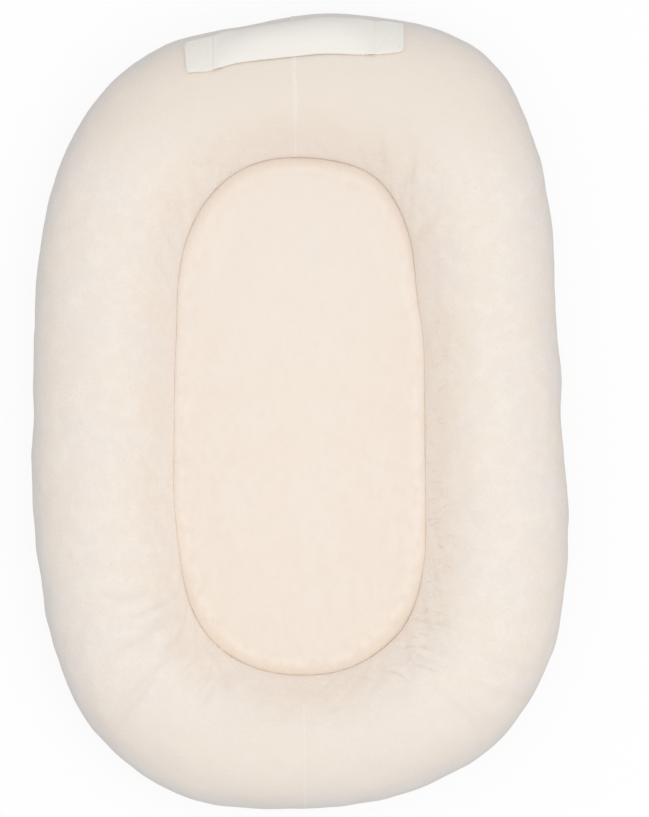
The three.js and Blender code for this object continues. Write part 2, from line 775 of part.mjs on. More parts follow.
const head_station = { quarter: 1, along: 1, turn: 90 };
const foot_station = { quarter: 2, along: 1, turn: 90 };
const cover = new THREE.Group();
cover.add(
  named("ring_cover_left", ringCover(left_stations), plush),
  named("ring_cover_right", ringCover(right_stations), plush),
  named("head_seam_ridge", seamRidge(head_station), plush),
  named("foot_seam_ridge", seamRidge(foot_station), plush),
  named("centre_panel", centrePanel(), velour),
  named("base_panel_left", basePanel(-1), calico),
  named("base_panel_right", basePanel(1), calico),
);

const insert = new THREE.Group();
insert.add(
  named("bolster_casing", casing(tubeRows, tube_closing, filling_slit.tube_column), cotton),
  named("bolster_fill", filling(tubeRows, tube_closing), fibre),
  named("pad_casing", casing(padRows, pad_closing, filling_slit.pad_column), cotton),
  named("pad_core", filling(padRows, pad_closing), foam),
);

const handle = new THREE.Group();
handle.add(
  named("handle_span", handleSpan(), twill),
  named("handle_end_left", handleEnd(-1), twill),
  named("handle_end_right", handleEnd(1), twill),
  named("handle_stitching_left", handleStitching(-1), thread),
  named("handle_stitching_right", handleStitching(1), thread),
);

const zip = new THREE.Group();
zip.position.set(pad_middle[0], pad_middle[1], base_rise);
zip.add(
  named("zip_tape_left", zipTape(-1), twill),
  named("zip_tape_right", zipTape(1), twill),
  named("zip_teeth_left", zipTeeth(-1), nylon),
  named("zip_teeth_right", zipTeeth(1), nylon),
  named("zip_top_stop_left", zipStop(-stop_outer, -teeth_gap / 2, top_stop_y), zinc),
  named("zip_top_stop_right", zipStop(teeth_gap / 2, stop_outer, top_stop_y), zinc),
  named("zip_bottom_stop", zipStop(-stop_outer, stop_outer, bottom_stop_y), zinc),
);

const slider = new THREE.Group();
slider.position.y = -zip_half + slider_stand_off + slider_length / 2;
const pull_tab = named("zip_pull_tab", zipPullTab(), zinc);
pull_tab.position.z = pin_drop;
slider.add(named("zip_slider", zipSlider(), zinc), pull_tab);
zip.add(slider);

lounger.add(cover, insert, handle, zip);

export default lounger;
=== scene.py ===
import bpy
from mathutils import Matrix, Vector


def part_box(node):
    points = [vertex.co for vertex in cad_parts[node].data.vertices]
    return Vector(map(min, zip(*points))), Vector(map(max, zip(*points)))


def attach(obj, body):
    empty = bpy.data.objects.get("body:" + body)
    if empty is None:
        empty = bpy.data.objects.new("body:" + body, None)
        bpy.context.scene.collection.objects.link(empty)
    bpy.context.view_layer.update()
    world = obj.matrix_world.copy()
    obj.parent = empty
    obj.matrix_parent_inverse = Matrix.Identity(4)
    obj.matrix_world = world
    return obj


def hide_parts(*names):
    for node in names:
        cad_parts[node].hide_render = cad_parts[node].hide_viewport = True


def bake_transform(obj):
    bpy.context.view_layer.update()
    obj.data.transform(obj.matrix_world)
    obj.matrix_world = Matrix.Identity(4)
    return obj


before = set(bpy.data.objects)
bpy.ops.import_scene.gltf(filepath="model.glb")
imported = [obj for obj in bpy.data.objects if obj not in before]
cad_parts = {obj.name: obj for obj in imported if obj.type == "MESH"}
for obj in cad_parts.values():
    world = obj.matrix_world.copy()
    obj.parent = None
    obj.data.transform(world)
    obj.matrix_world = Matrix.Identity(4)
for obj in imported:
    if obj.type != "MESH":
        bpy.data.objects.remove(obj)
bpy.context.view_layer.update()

import math

import bmesh
import bpy
import numpy as np
from mathutils import Vector, noise

# Infant lounger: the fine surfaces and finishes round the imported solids. Metres, +Z up, +Y towards
# the head, and the origin on the floor under the middle of the ring.

MM = 0.001
SIDES = {-1: "left", 1: "right"}

# Overall sizes, as the solids have them
LOUNGER_LENGTH = 740 * MM
LOUNGER_WIDTH = 500 * MM
BOLSTER_HEIGHT = 120 * MM
PAD_LENGTH = 483 * MM
PAD_WIDTH = 234 * MM
PAD_SETBACK = 5.5 * MM

# Cloth, webbing and clearances
PLUSH_CLOTH = 2.5 * MM
PAD_CLOTH = 1.5 * MM
BASE_CLOTH = 1.2 * MM
CASING_CLOTH = 0.8 * MM
WEBBING = 1.6 * MM
CLOTH_GAP = 0.3 * MM
FILLING_GAP = 0.4 * MM
SEWN_GAP = 0.02 * MM  # between two cloths where a seam holds them together
STUFFED_ROOM = 0.8 * MM  # kept free inside the covers for the stuffed forms

# The two loops seen from above. Each lie is degrees round, share of the radius, degrees wide.
SEAM_LEAN_SHARE = -0.0147
RING = {
    "half_width": LOUNGER_WIDTH / 2,
    "half_length": LOUNGER_LENGTH / 2,
    "end_length": 240 * MM,
    "roundness": 2.17,
    "taper_share": 0.016,
    "lie_shares": [
        (26, -0.041, 22),
        (65, 0.046, 13),
        (99, -0.018, 8),
        (139, -0.021, 14),
        (217, -0.034, 14),
        (252, 0.022, 10),
        (355, -0.018, 12),
    ],
    "setback": 0,
}
PAD = {
    "half_width": PAD_WIDTH / 2,
    "half_length": PAD_LENGTH / 2,
    "end_length": 141 * MM,
    "roundness": 2.25,
    "taper_share": 0.02,
    "lie_shares": [
        (46, -0.05, 11),
        (72, 0.022, 9),
        (140, -0.014, 16),
        (230, -0.036, 11),
        (298, 0.016, 8),
    ],
    "setback": PAD_SETBACK,
}

# The ring's section, from the pad's edge outwards
CROWN_SHARE = 0.47
WIDEST_HEIGHT = 52 * MM
SHOULDER_RISE = BOLSTER_HEIGHT - WIDEST_HEIGHT
PAD_SEAM_HEIGHT = 42 * MM
INNER_WALL_TURN = math.radians(60)
BASE_SEAM_TURN = math.radians(50)
HEM_DEPTH = 8 * MM
FLOOR_INNER_SHARE = 0.28
TUBE_SIDE_HEIGHT = 34 * MM
TUBE_HEEL_TURN = math.radians(75)
SIDE_ROUND_TURN = math.radians(50)

# Base cloth and pad
BASE_RISE = 8.5 * MM
PAD_HEIGHT = 37 * MM
PAD_CROWN = 3 * MM
PAD_ROLL = 22 * MM
PAD_FOOT_ROLL = 14 * MM
PAD_WAIST_HEIGHT = 22 * MM
PAD_UNDERSIDE = 12.25 * MM
PAD_TOP = PAD_UNDERSIDE + PAD_HEIGHT
PANEL_TOP = PAD_TOP + CLOTH_GAP + PAD_CLOTH

# The seam round the pad lies deep at the head and the foot, and shallow along the sides
CREASE_LIFT = 4.2 * MM
CREASE_REACH = 13 * MM
CREASE_SIDES = (105 * MM, 215 * MM)  # from the pad's middle, where it starts to deepen and is deepest

# Carry handle
HANDLE_LENGTH = 207 * MM
HANDLE_WIDTH = 44 * MM
HANDLE_OFFSET = -5.6 * MM
HANDLE_END_LENGTH = 28 * MM
HANDLE_BOW_HEIGHT = 8 * MM
HANDLE_LEFT_TURN = math.radians(41.2)
HANDLE_RIGHT_TURN = math.radians(35.6)
HANDLE_RISE_TURN = math.radians(8)
HANDLE_SPLAY = math.radians(20)
HANDLE_SPAN_END = 1 - 2 * HANDLE_END_LENGTH / HANDLE_LENGTH
HANDLE_REACH_TURN = math.radians(80)
STITCH_INSET = 4 * MM

# Zip
ZIP_INSET = 29.5 * MM
ZIP_HALF = PAD_LENGTH / 2 - ZIP_INSET
ZIP_SLOT_HALF_WIDTH = 5.1 * MM
ZIP_SLOT_HALF_LENGTH = 215.6 * MM
TEETH_WIDTH = 2.6 * MM
TEETH_GAP = 1.2 * MM
TEETH_MIDDLE = 0.1 * MM  # above the base cloth's lower face
TEETH_PITCH = 1.5 * MM

# Fineness of the meshes
CLOTH_STEP = 2.2 * MM
SIMULATED_STEP = 6 * MM
FINE_STATIONS = 1500


# Loops, spokes and sections, by the same formulas as the solids

def bell(value, wide):
    """1 at nought, and near 0 at twice that width."""
    return np.exp(-((value / wide) ** 2))


def loop_points(loop, head, right, along, turn):
    """Points of a loop seen from above. head and right are 1 or -1, along and turn run as on the solids."""
    power = 2 / loop["roundness"]
    straight = loop["half_length"] - loop["end_length"]
    across, ahead = (np.clip(wave(turn), 0, 1) ** power for wave in (np.cos, np.sin))
    y = head * (straight * along + loop["end_length"] * ahead)
    x = right * loop["half_width"] * across * (1 - loop["taper_share"] * y / loop["half_length"])
    x = x + SEAM_LEAN_SHARE * y * (1 - (x / loop["half_width"]) ** 2) ** 2
    y = y - loop["setback"]
    angle = np.degrees(np.arctan2(y, x))
    stretch = np.ones_like(angle)
    for at, share, wide in loop["lie_shares"]:
        stretch += share * bell((angle - at + 180) % 360 - 180, wide)
    return np.stack([x * stretch, y * stretch], axis=-1)


def half_stations(side):
    """Close stations (head, right, along, turn) from the head seam down one side to the foot seam."""
    turn = np.hstack([np.linspace(math.pi / 2, 0, FINE_STATIONS), np.zeros(FINE_STATIONS)])
    along = np.hstack([np.ones(FINE_STATIONS), np.linspace(1, 0, FINE_STATIONS)])
    head = np.repeat([1.0, -1.0], 2 * FINE_STATIONS)
    return head, side, np.hstack([along, along[::-1]]), np.hstack([turn, turn[::-1]])


whole_outline = np.vstack([loop_points(RING, *half_stations(side)) for side in SIDES])
OUTLINE_MIDDLE = (whole_outline.min(axis=0) + whole_outline.max(axis=0)) / 2
PAD_MIDDLE = np.array([0, -PAD_SETBACK]) - OUTLINE_MIDDLE

# How the stuffed ring lies, finer than on the solids: degrees round, share of the radius, degrees wide
RING["lie_shares"] += [
    (38, -0.009, 5),
    (58, 0.0095, 7),
    (86, 0.003, 4),
    (105, -0.0065, 12),
    (160, -0.0087, 26),
    (182.5, -0.008, 4.5),
    (214, -0.007, 5),
    (236, 0.0075, 7),
    (262, 0.0055, 12),
    (300, 0.0097, 7),
    (326, -0.0105, 6),
    (343, 0.006, 6),
]


def smooth_share(value, low, high):
    """0 below low, 1 above high, and smooth between."""
    t = np.clip((value - low) / (high - low), 0, 1)
    return t * t * (3 - 2 * t)


def travelled(points):
    """Length along a line of points, from its start."""
    steps = np.linalg.norm(np.diff(points, axis=0), axis=1)
    return np.hstack([0, np.cumsum(steps)])


def line_points(places, along, line):
    """Points of a line at those lengths along it."""
    return np.stack([np.interp(places, along, column) for column in line.T], axis=-1)


def pad_and_ring(stations):
    """The pad's edge and the ring's outermost line at the same stations."""
    return (loop_points(loop, *stations) - OUTLINE_MIDDLE for loop in (PAD, RING))


def graded(length, step, fine_step, fine_reach, close=(0, 0)):
    """Places a step apart along a length, closer near both ends and in the close part."""
    place = np.linspace(0, length, 4000)
    edge = np.minimum(place, length - place)
    from_close = np.maximum(close[0] - place, place - close[1])
    edge = np.minimum(edge, np.maximum(from_close, 0)) if close[1] else edge
    spacing = fine_step + (step - fine_step) * np.clip(edge / fine_reach, 0, 1)
    counted = np.hstack([0, np.cumsum(np.diff(place) / spacing[1:])])
    count = int(round(counted[-1]))
    return np.interp(np.linspace(0, counted[-1], count + 1), counted, place)


def make_spokes(side, step, fine_step, close=(0, 0)):
    """Level spokes from the pad's edge to the ring's outermost line, head seam to foot seam."""
    inner, outer = pad_and_ring(half_stations(side))
    along = travelled((inner + outer) / 2)
    places = graded(along[-1], step, fine_step, 16 * MM, close)
    inner, outer = (line_points(places, along, line) for line in (inner, outer))
    width = np.linalg.norm(outer - inner, axis=1)
    return {"inner": inner, "way": (outer - inner) / width[:, None], "width": width, "along": places}


def facing(across, up):
    """Unit (r, z) from two parts."""
    normal = np.stack(np.broadcast_arrays(across, up))
    return normal / np.hypot(*normal)


def outer_arc(width, turn, depth=0):
    """(r, z) on the ring's outer face, turn up from its outermost point."""
    reach = width * (1 - CROWN_SHARE)
    rise = np.where(turn > 0, SHOULDER_RISE, WIDEST_HEIGHT)
    normal = facing(np.cos(turn) / reach, np.sin(turn) / rise)
    r = width * CROWN_SHARE + reach * np.cos(turn) - depth * normal[0]
    return r, WIDEST_HEIGHT + rise * np.sin(turn) - depth * normal[1]


def inner_arc(width, turn, depth=0):
    """(r, z) on the ring's inner wall, turn down from the crown."""
    crown = width * CROWN_SHARE
    reach = crown / math.sin(INNER_WALL_TURN)
    rise = (BOLSTER_HEIGHT - PAD_SEAM_HEIGHT) / (1 - math.cos(INNER_WALL_TURN))
    normal = facing(-np.sin(turn) / reach, np.cos(turn) / rise)
    r = crown - reach * np.sin(turn) - depth * normal[0]
    return r, BOLSTER_HEIGHT - rise * (1 - np.cos(turn)) - depth * normal[1]


def cover_section(width, place, depth=0):
    """(r, z) of the cover: place 0 at the pad's seam, 1 on the crown, 2 at the base seam."""
    width, place = np.broadcast_arrays(width, place)
    within = inner_arc(width, INNER_WALL_TURN * (1 - place), depth)
    outside = outer_arc(width, math.pi / 2 - (math.pi / 2 + BASE_SEAM_TURN) * (place - 1), depth)
    return tuple(np.where(place < 1, a, b) for a, b in zip(within, outside))


def section_places(step, fine_step, close=(0, 0)):
    """Places on the cover's section, and how far each is from the pad's seam."""
    place = np.linspace(0, 2, 2000)
    typical = LOUNGER_WIDTH / 2 - PAD_WIDTH / 2
    along = travelled(np.stack(cover_section(typical, place), axis=-1))
    lengths = graded(along[-1], step, fine_step, 12 * MM, close)
    return np.interp(lengths, along, place), lengths


def on_spokes(spokes, r, z):
    """Grid of points, one row for each spoke."""
    level = spokes["inner"][:, None, :] + spokes["way"][:, None, :] * r[..., None]
    return np.dstack([level, np.broadcast_to(z, r.shape)])


def crease_lift(level):
    """How much higher the pad's seam lies along the sides."""
    ahead = np.abs(level[..., 1] - PAD_MIDDLE[1])
    return CREASE_LIFT * (1 - smooth_share(ahead, *CREASE_SIDES))


# Grids of points, and the meshes made of them

def unit(vectors):
    return vectors / np.maximum(np.linalg.norm(vectors, axis=-1, keepdims=True), 1e-12)


def grid_normals(points):
    """Unit normals of a grid, rows x columns."""
    return unit(np.cross(np.gradient(points, axis=0), np.gradient(points, axis=1)))


def soft_noise(points, size, seed):
    """Smooth noise, about -1 to 1, with lumps of that size."""
    scaled = np.reshape(points, (-1, 3)) / np.array(size) + 17.3 * seed
    return 1.6 * np.array([noise.noise(Vector(p)) for p in scaled]).reshape(points.shape[:-1])


def add_object(name, data):
    thing = bpy.data.objects.new(name, data)
    bpy.context.scene.collection.objects.link(thing)
    return thing


def mesh_object(name, points, faces, smooth=True):
    mesh = bpy.data.meshes.new(name)
    mesh.from_pydata([tuple(p) for p in np.reshape(points, (-1, 3))], [], [tuple(f) for f in faces])
    mesh.polygons.foreach_set("use_smooth", [smooth] * len(mesh.polygons))
    mesh.update()
    return add_object(name, mesh)


def grid_faces(rows, columns, around=False, across=False, flip=False, start=0):
    """Quads of a grid. around joins its last row to its first, across its last column."""
    i = np.arange(rows if around else rows - 1)
    j = np.arange(columns if across else columns - 1)
    i, j = (a.ravel() for a in np.meshgrid(i, j, indexing="ij"))
    next_i, next_j = (i + 1) % rows, (j + 1) % columns
    corners = [(i, j), (next_i, j), (next_i, next_j), (i, next_j)]
    if flip:
        corners = corners[::-1]
    return start + np.stack([a * columns + b for a, b in corners], axis=-1)


def tube_faces(rows, columns, around=False):
    """Faces of a closed tube. Its rows run round it with around, else its columns."""
    rings = np.arange(rows * columns).reshape(rows, columns)
    rings = rings.T if around else rings
    return [*grid_faces(rows, columns, around, not around), rings[0], rings[-1][::-1]]


def grid_object(name, points, across=False, flip=False):
    return mesh_object(name, points, grid_faces(*points.shape[:2], across=across, flip=flip))


def edit(piece, change):
    """Runs change on the mesh as a bmesh, and leaves it smooth."""
    made = bmesh.new()
    made.from_mesh(piece.data)
    made.verts.ensure_lookup_table()
    change(made)
    made.to_mesh(piece.data)
    made.free()
    piece.data.polygons.foreach_set("use_smooth", [True] * len(piece.data.polygons))
    piece.data.update()


def face_out(made):
    bmesh.ops.recalc_face_normals(made, faces=made.faces)


def solid_object(name, points, faces):
    piece = mesh_object(name, points, faces)
    edit(piece, face_out)
    return piece


def thicken(piece, thickness):
    """Gives a sheet its thickness, inwards from its shown face."""
    solidify = piece.modifiers.new("cloth", "SOLIDIFY")
    solidify.thickness = thickness
    solidify.offset = -1
    solidify.use_rim = True


def paint(piece, name, kind, field, values):
    """Keeps values on the piece's points, for its finish."""
    attribute = piece.data.attributes.new(name, kind, "POINT")
    attribute.data.foreach_set(field, values.astype(np.float32).ravel())


def resampled(values, rows, columns):
    """A grid's values at fractional rows and columns, smoothed."""
    for axis, places in ((0, rows), (1, columns)):
        values = np.moveaxis(values, axis, 0)
        last = len(values) - 1
        base = np.floor(places).astype(int)
        t = places - base
        weights = [
            (1 - t) ** 3 / 6,
            (3 * t**3 - 6 * t**2 + 4) / 6,
            (-3 * t**3 + 3 * t**2 + 3 * t + 1) / 6,
            t**3 / 6,
        ]
        parts = [
            weight.reshape(-1, *[1] * (values.ndim - 1)) * values[np.clip(base + k - 1, 0, last)]
            for k, weight in enumerate(weights)
        ]
        values = np.moveaxis(sum(parts), 0, axis)
    return values


def rods(name, middles, along, up, profile, sides):
    """Short rods in one mesh. profile gives each ring's (along, across, up, lift)."""
    along = unit(np.array(along))
    across = unit(np.cross(up, along))
    up = np.cross(along, across)
    turns = 2 * math.pi * np.arange(sides) / sides
    rings = [
        np.array(middles)[:, None, :]
        + along[:, None, :] * a
        + across[:, None, :] * (b * np.cos(turns))[None, :, None]
        + up[:, None, :] * (c * np.sin(turns) + lift)[None, :, None]
        for a, b, c, lift in profile
    ]
    one = tube_faces(len(rings), sides)
    starts = np.arange(len(middles)) * len(rings) * sides
    return solid_object(name, np.stack(rings, axis=1), [start + face for start in starts for face in one])


def stitch_profile(length, radius, sink):
    """A short thread that rises out of the cloth and goes back in."""
    half = [(0.4, 1, 0.1), (0.82, 0.85, 0.55), (1, 0.45, 1.0)]
    shares = [(-a, b, c) for a, b, c in half[::-1]] + half
    return [(length / 2 * a, radius * b, radius * b, -sink * c) for a, b, c in shares]


# Finishes

def shade(red, green, blue):
    """A colour as it shows on screen, 0 to 255, as the shader takes it."""
    linear = [((c / 255 + 0.055) / 1.055) ** 2.4 for c in (red, green, blue)]
    return (*linear, 1.0)


class Nodes:
    """A node tree, built one call at a time."""

    def __init__(self, tree):
        self.tree = tree

    def add(self, kind, **inputs):
        node = self.tree.nodes.new(f"ShaderNode{kind}")
        for key, value in inputs.items():
            self.feed(node.inputs[key.replace("_", " ")], value)
        return node

    def feed(self, socket, value):
        if isinstance(value, bpy.types.NodeSocket):
            self.tree.links.new(value, socket)
        else:
            socket.default_value = value

    def maths(self, operation, a, b=0.0):
        node = self.add("Math")
        node.operation = operation
        self.feed(node.inputs[0], a)
        self.feed(node.inputs[1], b)
        return node.outputs["Value"]

    def times(self, a, b):
        return self.maths("MULTIPLY", a, b)


class Finish(Nodes):
    """A material on the object's own coordinates. Colours are as they show on screen, 0 to 255."""

    def __init__(self, name, roughness, metallic=0.0, **sockets):
        self.material = bpy.data.materials.new(name)
        self.material.use_nodes = True
        super().__init__(self.material.node_tree)
        self.shader = self.tree.nodes["Principled BSDF"]
        for socket, value in {"Roughness": roughness, "Metallic": metallic, **sockets}.items():
            self.shader.inputs[socket.replace("_", " ")].default_value = value
        self.place = self.add("TexCoord").outputs["Object"]

    def attribute(self, name, output="Vector"):
        node = self.add("Attribute")
        node.attribute_name = name
        return node.outputs[output]

    def scaled(self, shares):
        node = self.add("VectorMath", Vector=self.place)
        node.operation = "MULTIPLY"
        node.inputs[1].default_value = shares
        return node.outputs["Vector"]

    def noise(self, size, detail=2.0, roughness=0.5, stretch=(1, 1, 1)):
        """Noise with grains of that size, longer along an axis by stretch."""
        vector = self.scaled([1 / s for s in stretch])
        node = self.add("TexNoise", Vector=vector, Scale=1 / size, Detail=detail, Roughness=roughness)
        return node.outputs["Fac"]

    def axis(self, name, vector=None):
        return self.add("SeparateXYZ", Vector=vector or self.place).outputs[name]

    def reach(self, half_width, half_length):
        """How far out a point lies, 1 on the ellipse of those half sizes."""
        length = self.add("VectorMath", Vector=self.scaled((1 / half_width, 1 / half_length, 0)))
        length.operation = "LENGTH"
        return length.outputs["Value"]

    def spread(self, value, low, high):
        """0 at low, 1 at high, and smooth between."""
        node = self.add("MapRange", Value=value, From_Min=low, From_Max=high)
        node.interpolation_type = "SMOOTHSTEP"
        return node.outputs["Result"]

    def blend(self, share, first, second):
        """The first colour at share 0, the second at 1."""
        node = self.add("Mix")
        node.data_type = "RGBA"
        self.feed(node.inputs["Factor"], share)
        for socket, colour in zip([s for s in node.inputs if s.type == "RGBA"], (first, second)):
            self.feed(socket, shade(*colour) if isinstance(colour, tuple) else colour)
        return [s for s in node.outputs if s.type == "RGBA"][0]

    def tint(self, first, second, value, low, high):
        """The first colour where value is low, the second where it is high."""
        return self.blend(self.spread(value, low, high), first, second)

    def made(self, colour, *reliefs):
        """The material, with its colour and reliefs of (height, depth, strength)."""
        self.feed(self.shader.inputs["Base Color"], colour)
        normal = None
        for height, depth, strength in reliefs:
            bump = self.add("Bump", Height=height, Distance=depth, Strength=strength)
            if normal:
                self.feed(bump.inputs["Normal"], normal)
            normal = bump.outputs["Normal"]
            self.feed(self.shader.inputs["Normal"], normal)
        return self.material


def make_plush(name, paler):
    """Short, soft pile in small tufts, with warmer and cooler patches of nap; painted shade in its creases,
    near the pad's seam and low on its outer side, and painted light low on its inner wall.
    """
    finish = Finish(name, 0.95, Sheen_Weight=0.08, Sheen_Roughness=0.5, Specular_IOR_Level=0.1)
    nap = finish.noise(60 * MM, 2.0)
    patches = finish.noise(15 * MM, 3.0, 0.55)
    tufts = finish.noise(2.6 * MM, 3.0, 0.6)
    pile = finish.noise(0.8 * MM, 2.0, 0.6)
    height = finish.axis("Z")
    right = finish.spread(finish.axis("X"), 130 * MM, 225 * MM)
    head = finish.spread(finish.axis("Y"), 200 * MM, 290 * MM)
    foot = finish.spread(finish.axis("Y"), -240 * MM, -310 * MM)
    outside = finish.spread(finish.reach(LOUNGER_WIDTH / 2, LOUNGER_LENGTH / 2), 0.74, 0.84)
    # painted light low on the ring's inner wall, lighter and cooler towards the pad
    wall = finish.times(finish.spread(height, 95 * MM, 45 * MM), 0.5)
    # painted shade low on the ring's outer side, less of it on the right, towards the lamp
    painted_shade_flank = finish.times(finish.spread(height, 105 * MM, 62 * MM), outside)
    colour = finish.tint((246, 235, 223), (244, 235, 228), nap, 0.38, 0.62)
    colour = finish.tint(colour, (248, 239, 229), patches, 0.4, 0.7)
    for share, tone in (
        (finish.maths("MAXIMUM", head, finish.times(foot, 0.6)), (242, 231, 219)),
        (finish.times(wall, finish.maths("SUBTRACT", 1.0, outside)), (252, 246, 241)),
        (finish.times(painted_shade_flank, finish.maths("SUBTRACT", 0.85, finish.times(right, 0.55))), (234, 229, 225)),
        # painted shade: darker in the creases' troughs and near the pad's seam
        (finish.times(finish.attribute("painted_shade", "Fac"), 0.4), (227, 215, 203)),
        # a lighter tone over the whole piece, used on the seam's ridge
        (paler, (254, 250, 244)),
        (finish.spread(tufts, 0.5, 0.2), (240, 229, 217)),
        (finish.spread(pile, 0.42, 0.2), (240, 229, 217)),
    ):
        colour = finish.blend(share, colour, tone)
    return finish.made(colour, (patches, 0.8 * MM, 0.4), (tufts, 0.8 * MM, 0.55), (pile, 0.3 * MM, 0.5))


def make_velour():
    """Finer, yellower pile than the ring's, with painted light where the pad rolls down towards its seam."""
    finish = Finish("velour", 0.9, Sheen_Weight=0.08, Sheen_Roughness=0.4, Specular_IOR_Level=0.1)
    nap = finish.noise(45 * MM, 2.0)
    strokes = finish.noise(8 * MM, 3.0, stretch=(1, 1.6, 1))
    pile = finish.noise(0.8 * MM, 2.0, 0.6)
    height = finish.axis("Z")
    head = finish.spread(finish.axis("Y"), -60 * MM, 190 * MM)
    calm = finish.maths("SUBTRACT", 0.9, finish.times(head, 0.5))
    # painted light where the pad rolls down towards its seam, fading out just above the seam itself
    rolled = finish.spread(height, 51.4 * MM, 49 * MM)
    rolled = finish.times(rolled, finish.spread(height, 46 * MM, 49.5 * MM))
    colour = finish.tint((248, 236, 223), (248, 237, 226), nap, 0.38, 0.62)
    for share, tone in (
        (head, (247, 237, 227)),
        (finish.times(rolled, 0.6), (255, 247, 238)),
        (finish.times(finish.spread(strokes, 0.6, 0.3), calm), (246, 234, 222)),
        (finish.spread(pile, 0.42, 0.25), (241, 228, 215)),
    ):
        colour = finish.blend(share, colour, tone)
    return finish.made(colour, (strokes, 0.4 * MM, 0.3), (pile, 0.25 * MM, 0.5))


def make_woven(name, colour, dark, thread, depth):
    """Plain weave: threads over and under each other along X and Y."""
    finish = Finish(name, 0.85, Specular_IOR_Level=0.2)
    waves = [finish.maths("SINE", finish.times(finish.axis(axis), math.pi / thread)) for axis in "XY"]
    slubs = finish.noise(3 * MM, 2.0, stretch=(6, 1, 1))
    height = finish.maths("ADD", finish.times(finish.times(*waves), 0.5), slubs)
    return finish.made(finish.tint(dark, colour, height, 0.1, 0.9), (height, depth, 0.8))


def make_twill(name, colour, dark, thread, depth):
    """Diagonal ribs, on the webbing's own lengthwise and crosswise places."""
    finish = Finish(name, 0.75, Specular_IOR_Level=0.2)
    along, across = (finish.axis(axis, finish.attribute("weave")) for axis in "XY")
    turns = 2 * math.pi / thread
    ribs = finish.maths("SINE", finish.times(finish.maths("ADD", along, across), turns))
    picks = finish.maths("SINE", finish.times(across, turns))
    height = finish.maths("ADD", finish.times(ribs, 0.5), finish.times(picks, 0.2))
    height = finish.maths("ADD", height, finish.times(finish.noise(1.5 * MM, 3.0, 0.6), 0.8))
    return finish.made(finish.tint(dark, colour, height, -0.3, 0.7), (height, depth, 0.6))


def make_strands(name, colour, dark, grain, depth, roughness=1.0, strength=0.8):
    """Thread, loose filling or open foam, with grain as noise takes it."""
    finish = Finish(name, roughness)
    strands = finish.noise(*grain)
    return finish.made(finish.tint(dark, colour, strands, 0.35, 0.6), (strands, depth, strength))


def make_nylon():
    finish = Finish("zip_nylon", 0.45)
    colour = finish.blend(finish.noise(4 * MM, 2.0), (232, 229, 220), (243, 241, 234))
    return finish.made(colour, (finish.noise(0.3 * MM, 1.0), 0.04 * MM, 0.5))


def make_zinc():
    """Plated zinc, brushed lengthwise and duller where it is handled."""
    finish = Finish("zip_metal", 0.3, 0.95)
    handled = finish.noise(5 * MM, 2.0)
    brushed = finish.noise(0.4 * MM, 3.0, 0.6, stretch=(1, 12, 1))
    finish.feed(finish.shader.inputs["Roughness"], finish.maths("ADD", finish.times(handled, 0.25), 0.2))
    return finish.made(finish.blend(handled, (214, 213, 209), (228, 227, 224)), (brushed, 0.03 * MM, 0.5))


finishes = {
    "plush": make_plush("plush", 0.0),
    "seam_edge": make_plush("seam_edge", 0.25),
    "velour": make_velour(),
    "base_cloth": make_woven("base_cloth", (240, 232, 219), (222, 212, 197), 0.55 * MM, 0.25 * MM),
    "casing_cotton": make_woven("casing_cotton", (238, 235, 228), (222, 218, 209), 0.4 * MM, 0.15 * MM),
    "fibre_filling": make_strands(
        "fibre_filling", (247, 246, 242), (228, 226, 220), (5 * MM, 4.0, 0.7), 2 * MM
    ),
    "pad_foam": make_strands("pad_foam", (246, 240, 224), (226, 218, 196), (1.2 * MM, 4.0, 0.7), 0.6 * MM),
    "webbing": make_twill("webbing", (250, 246, 240), (244, 240, 232), 1.9 * MM, 0.2 * MM),
    "thread": make_strands(
        "thread", (251, 248, 243), (240, 236, 229), (0.35 * MM, 1.0), 0.12 * MM, roughness=0.55, strength=0.6
    ),
    "zip_tape": make_woven("zip_tape", (238, 234, 226), (219, 214, 204), 0.5 * MM, 0.2 * MM),
    "zip_nylon": make_nylon(),
    "zip_metal": make_zinc(),
}


def dress(piece, slot, replaced=(), body="root", look=None):
    """Gives a piece its finish, its solids and the body that carries it."""
    piece.data.materials.append(finishes[look or slot])
    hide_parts(*replaced)
    if body:
        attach(piece, body)


# Ring covers

EXTRA_ALONG = 0.07  # how much longer the cloth is cut than the seams that hold it
EXTRA_ACROSS = 0.01
FILLING_PRESSURE = 10.0
SETTLE_FRAMES = 30
SETTLED_WINDOW = 170 * MM  # along the ring; what drifts more slowly than this is left out
SETTLED_MOST = 4 * MM
SETTLED_SHOWN = 1.7  # how much of its folds the pile lets show, against the bare cloth


def simulate(cloth, cut, pinned):
    """Points of a mesh that is pinned at its seams and cut to another shape, once its cloth settles."""
    cloth.shape_key_add(name="sewn")
    key = cloth.shape_key_add(name="cut")
    key.data.foreach_set("co", np.reshape(cut, -1))
    group = cloth.vertex_groups.new(name="seams")
    group.add([int(i) for i in np.flatnonzero(pinned)], 1.0, "REPLACE")
    modifier = cloth.modifiers.new("settle", "CLOTH")
    settings = modifier.settings
    settings.rest_shape_key = key
    settings.vertex_group_mass = "seams"
    settings.quality = 6
    settings.mass = 0.3
    settings.tension_stiffness = settings.compression_stiffness = 80
    settings.shear_stiffness = 10
    settings.bending_stiffness = 0.05
    settings.use_pressure = True
    settings.uniform_pressure_force = FILLING_PRESSURE
    settings.effector_weights.gravity = 0
    modifier.collision_settings.use_collision = False
    scene = bpy.context.scene
    for number in range(1, SETTLE_FRAMES + 1):
        scene.frame_set(number)
    shown = cloth.evaluated_get(bpy.context.evaluated_depsgraph_get())
    points = np.zeros(3 * len(cloth.data.vertices))
    shown.data.vertices.foreach_get("co", points)
    scene.frame_set(1)
    bpy.data.objects.remove(cloth)
    return points.reshape(-1, 3)


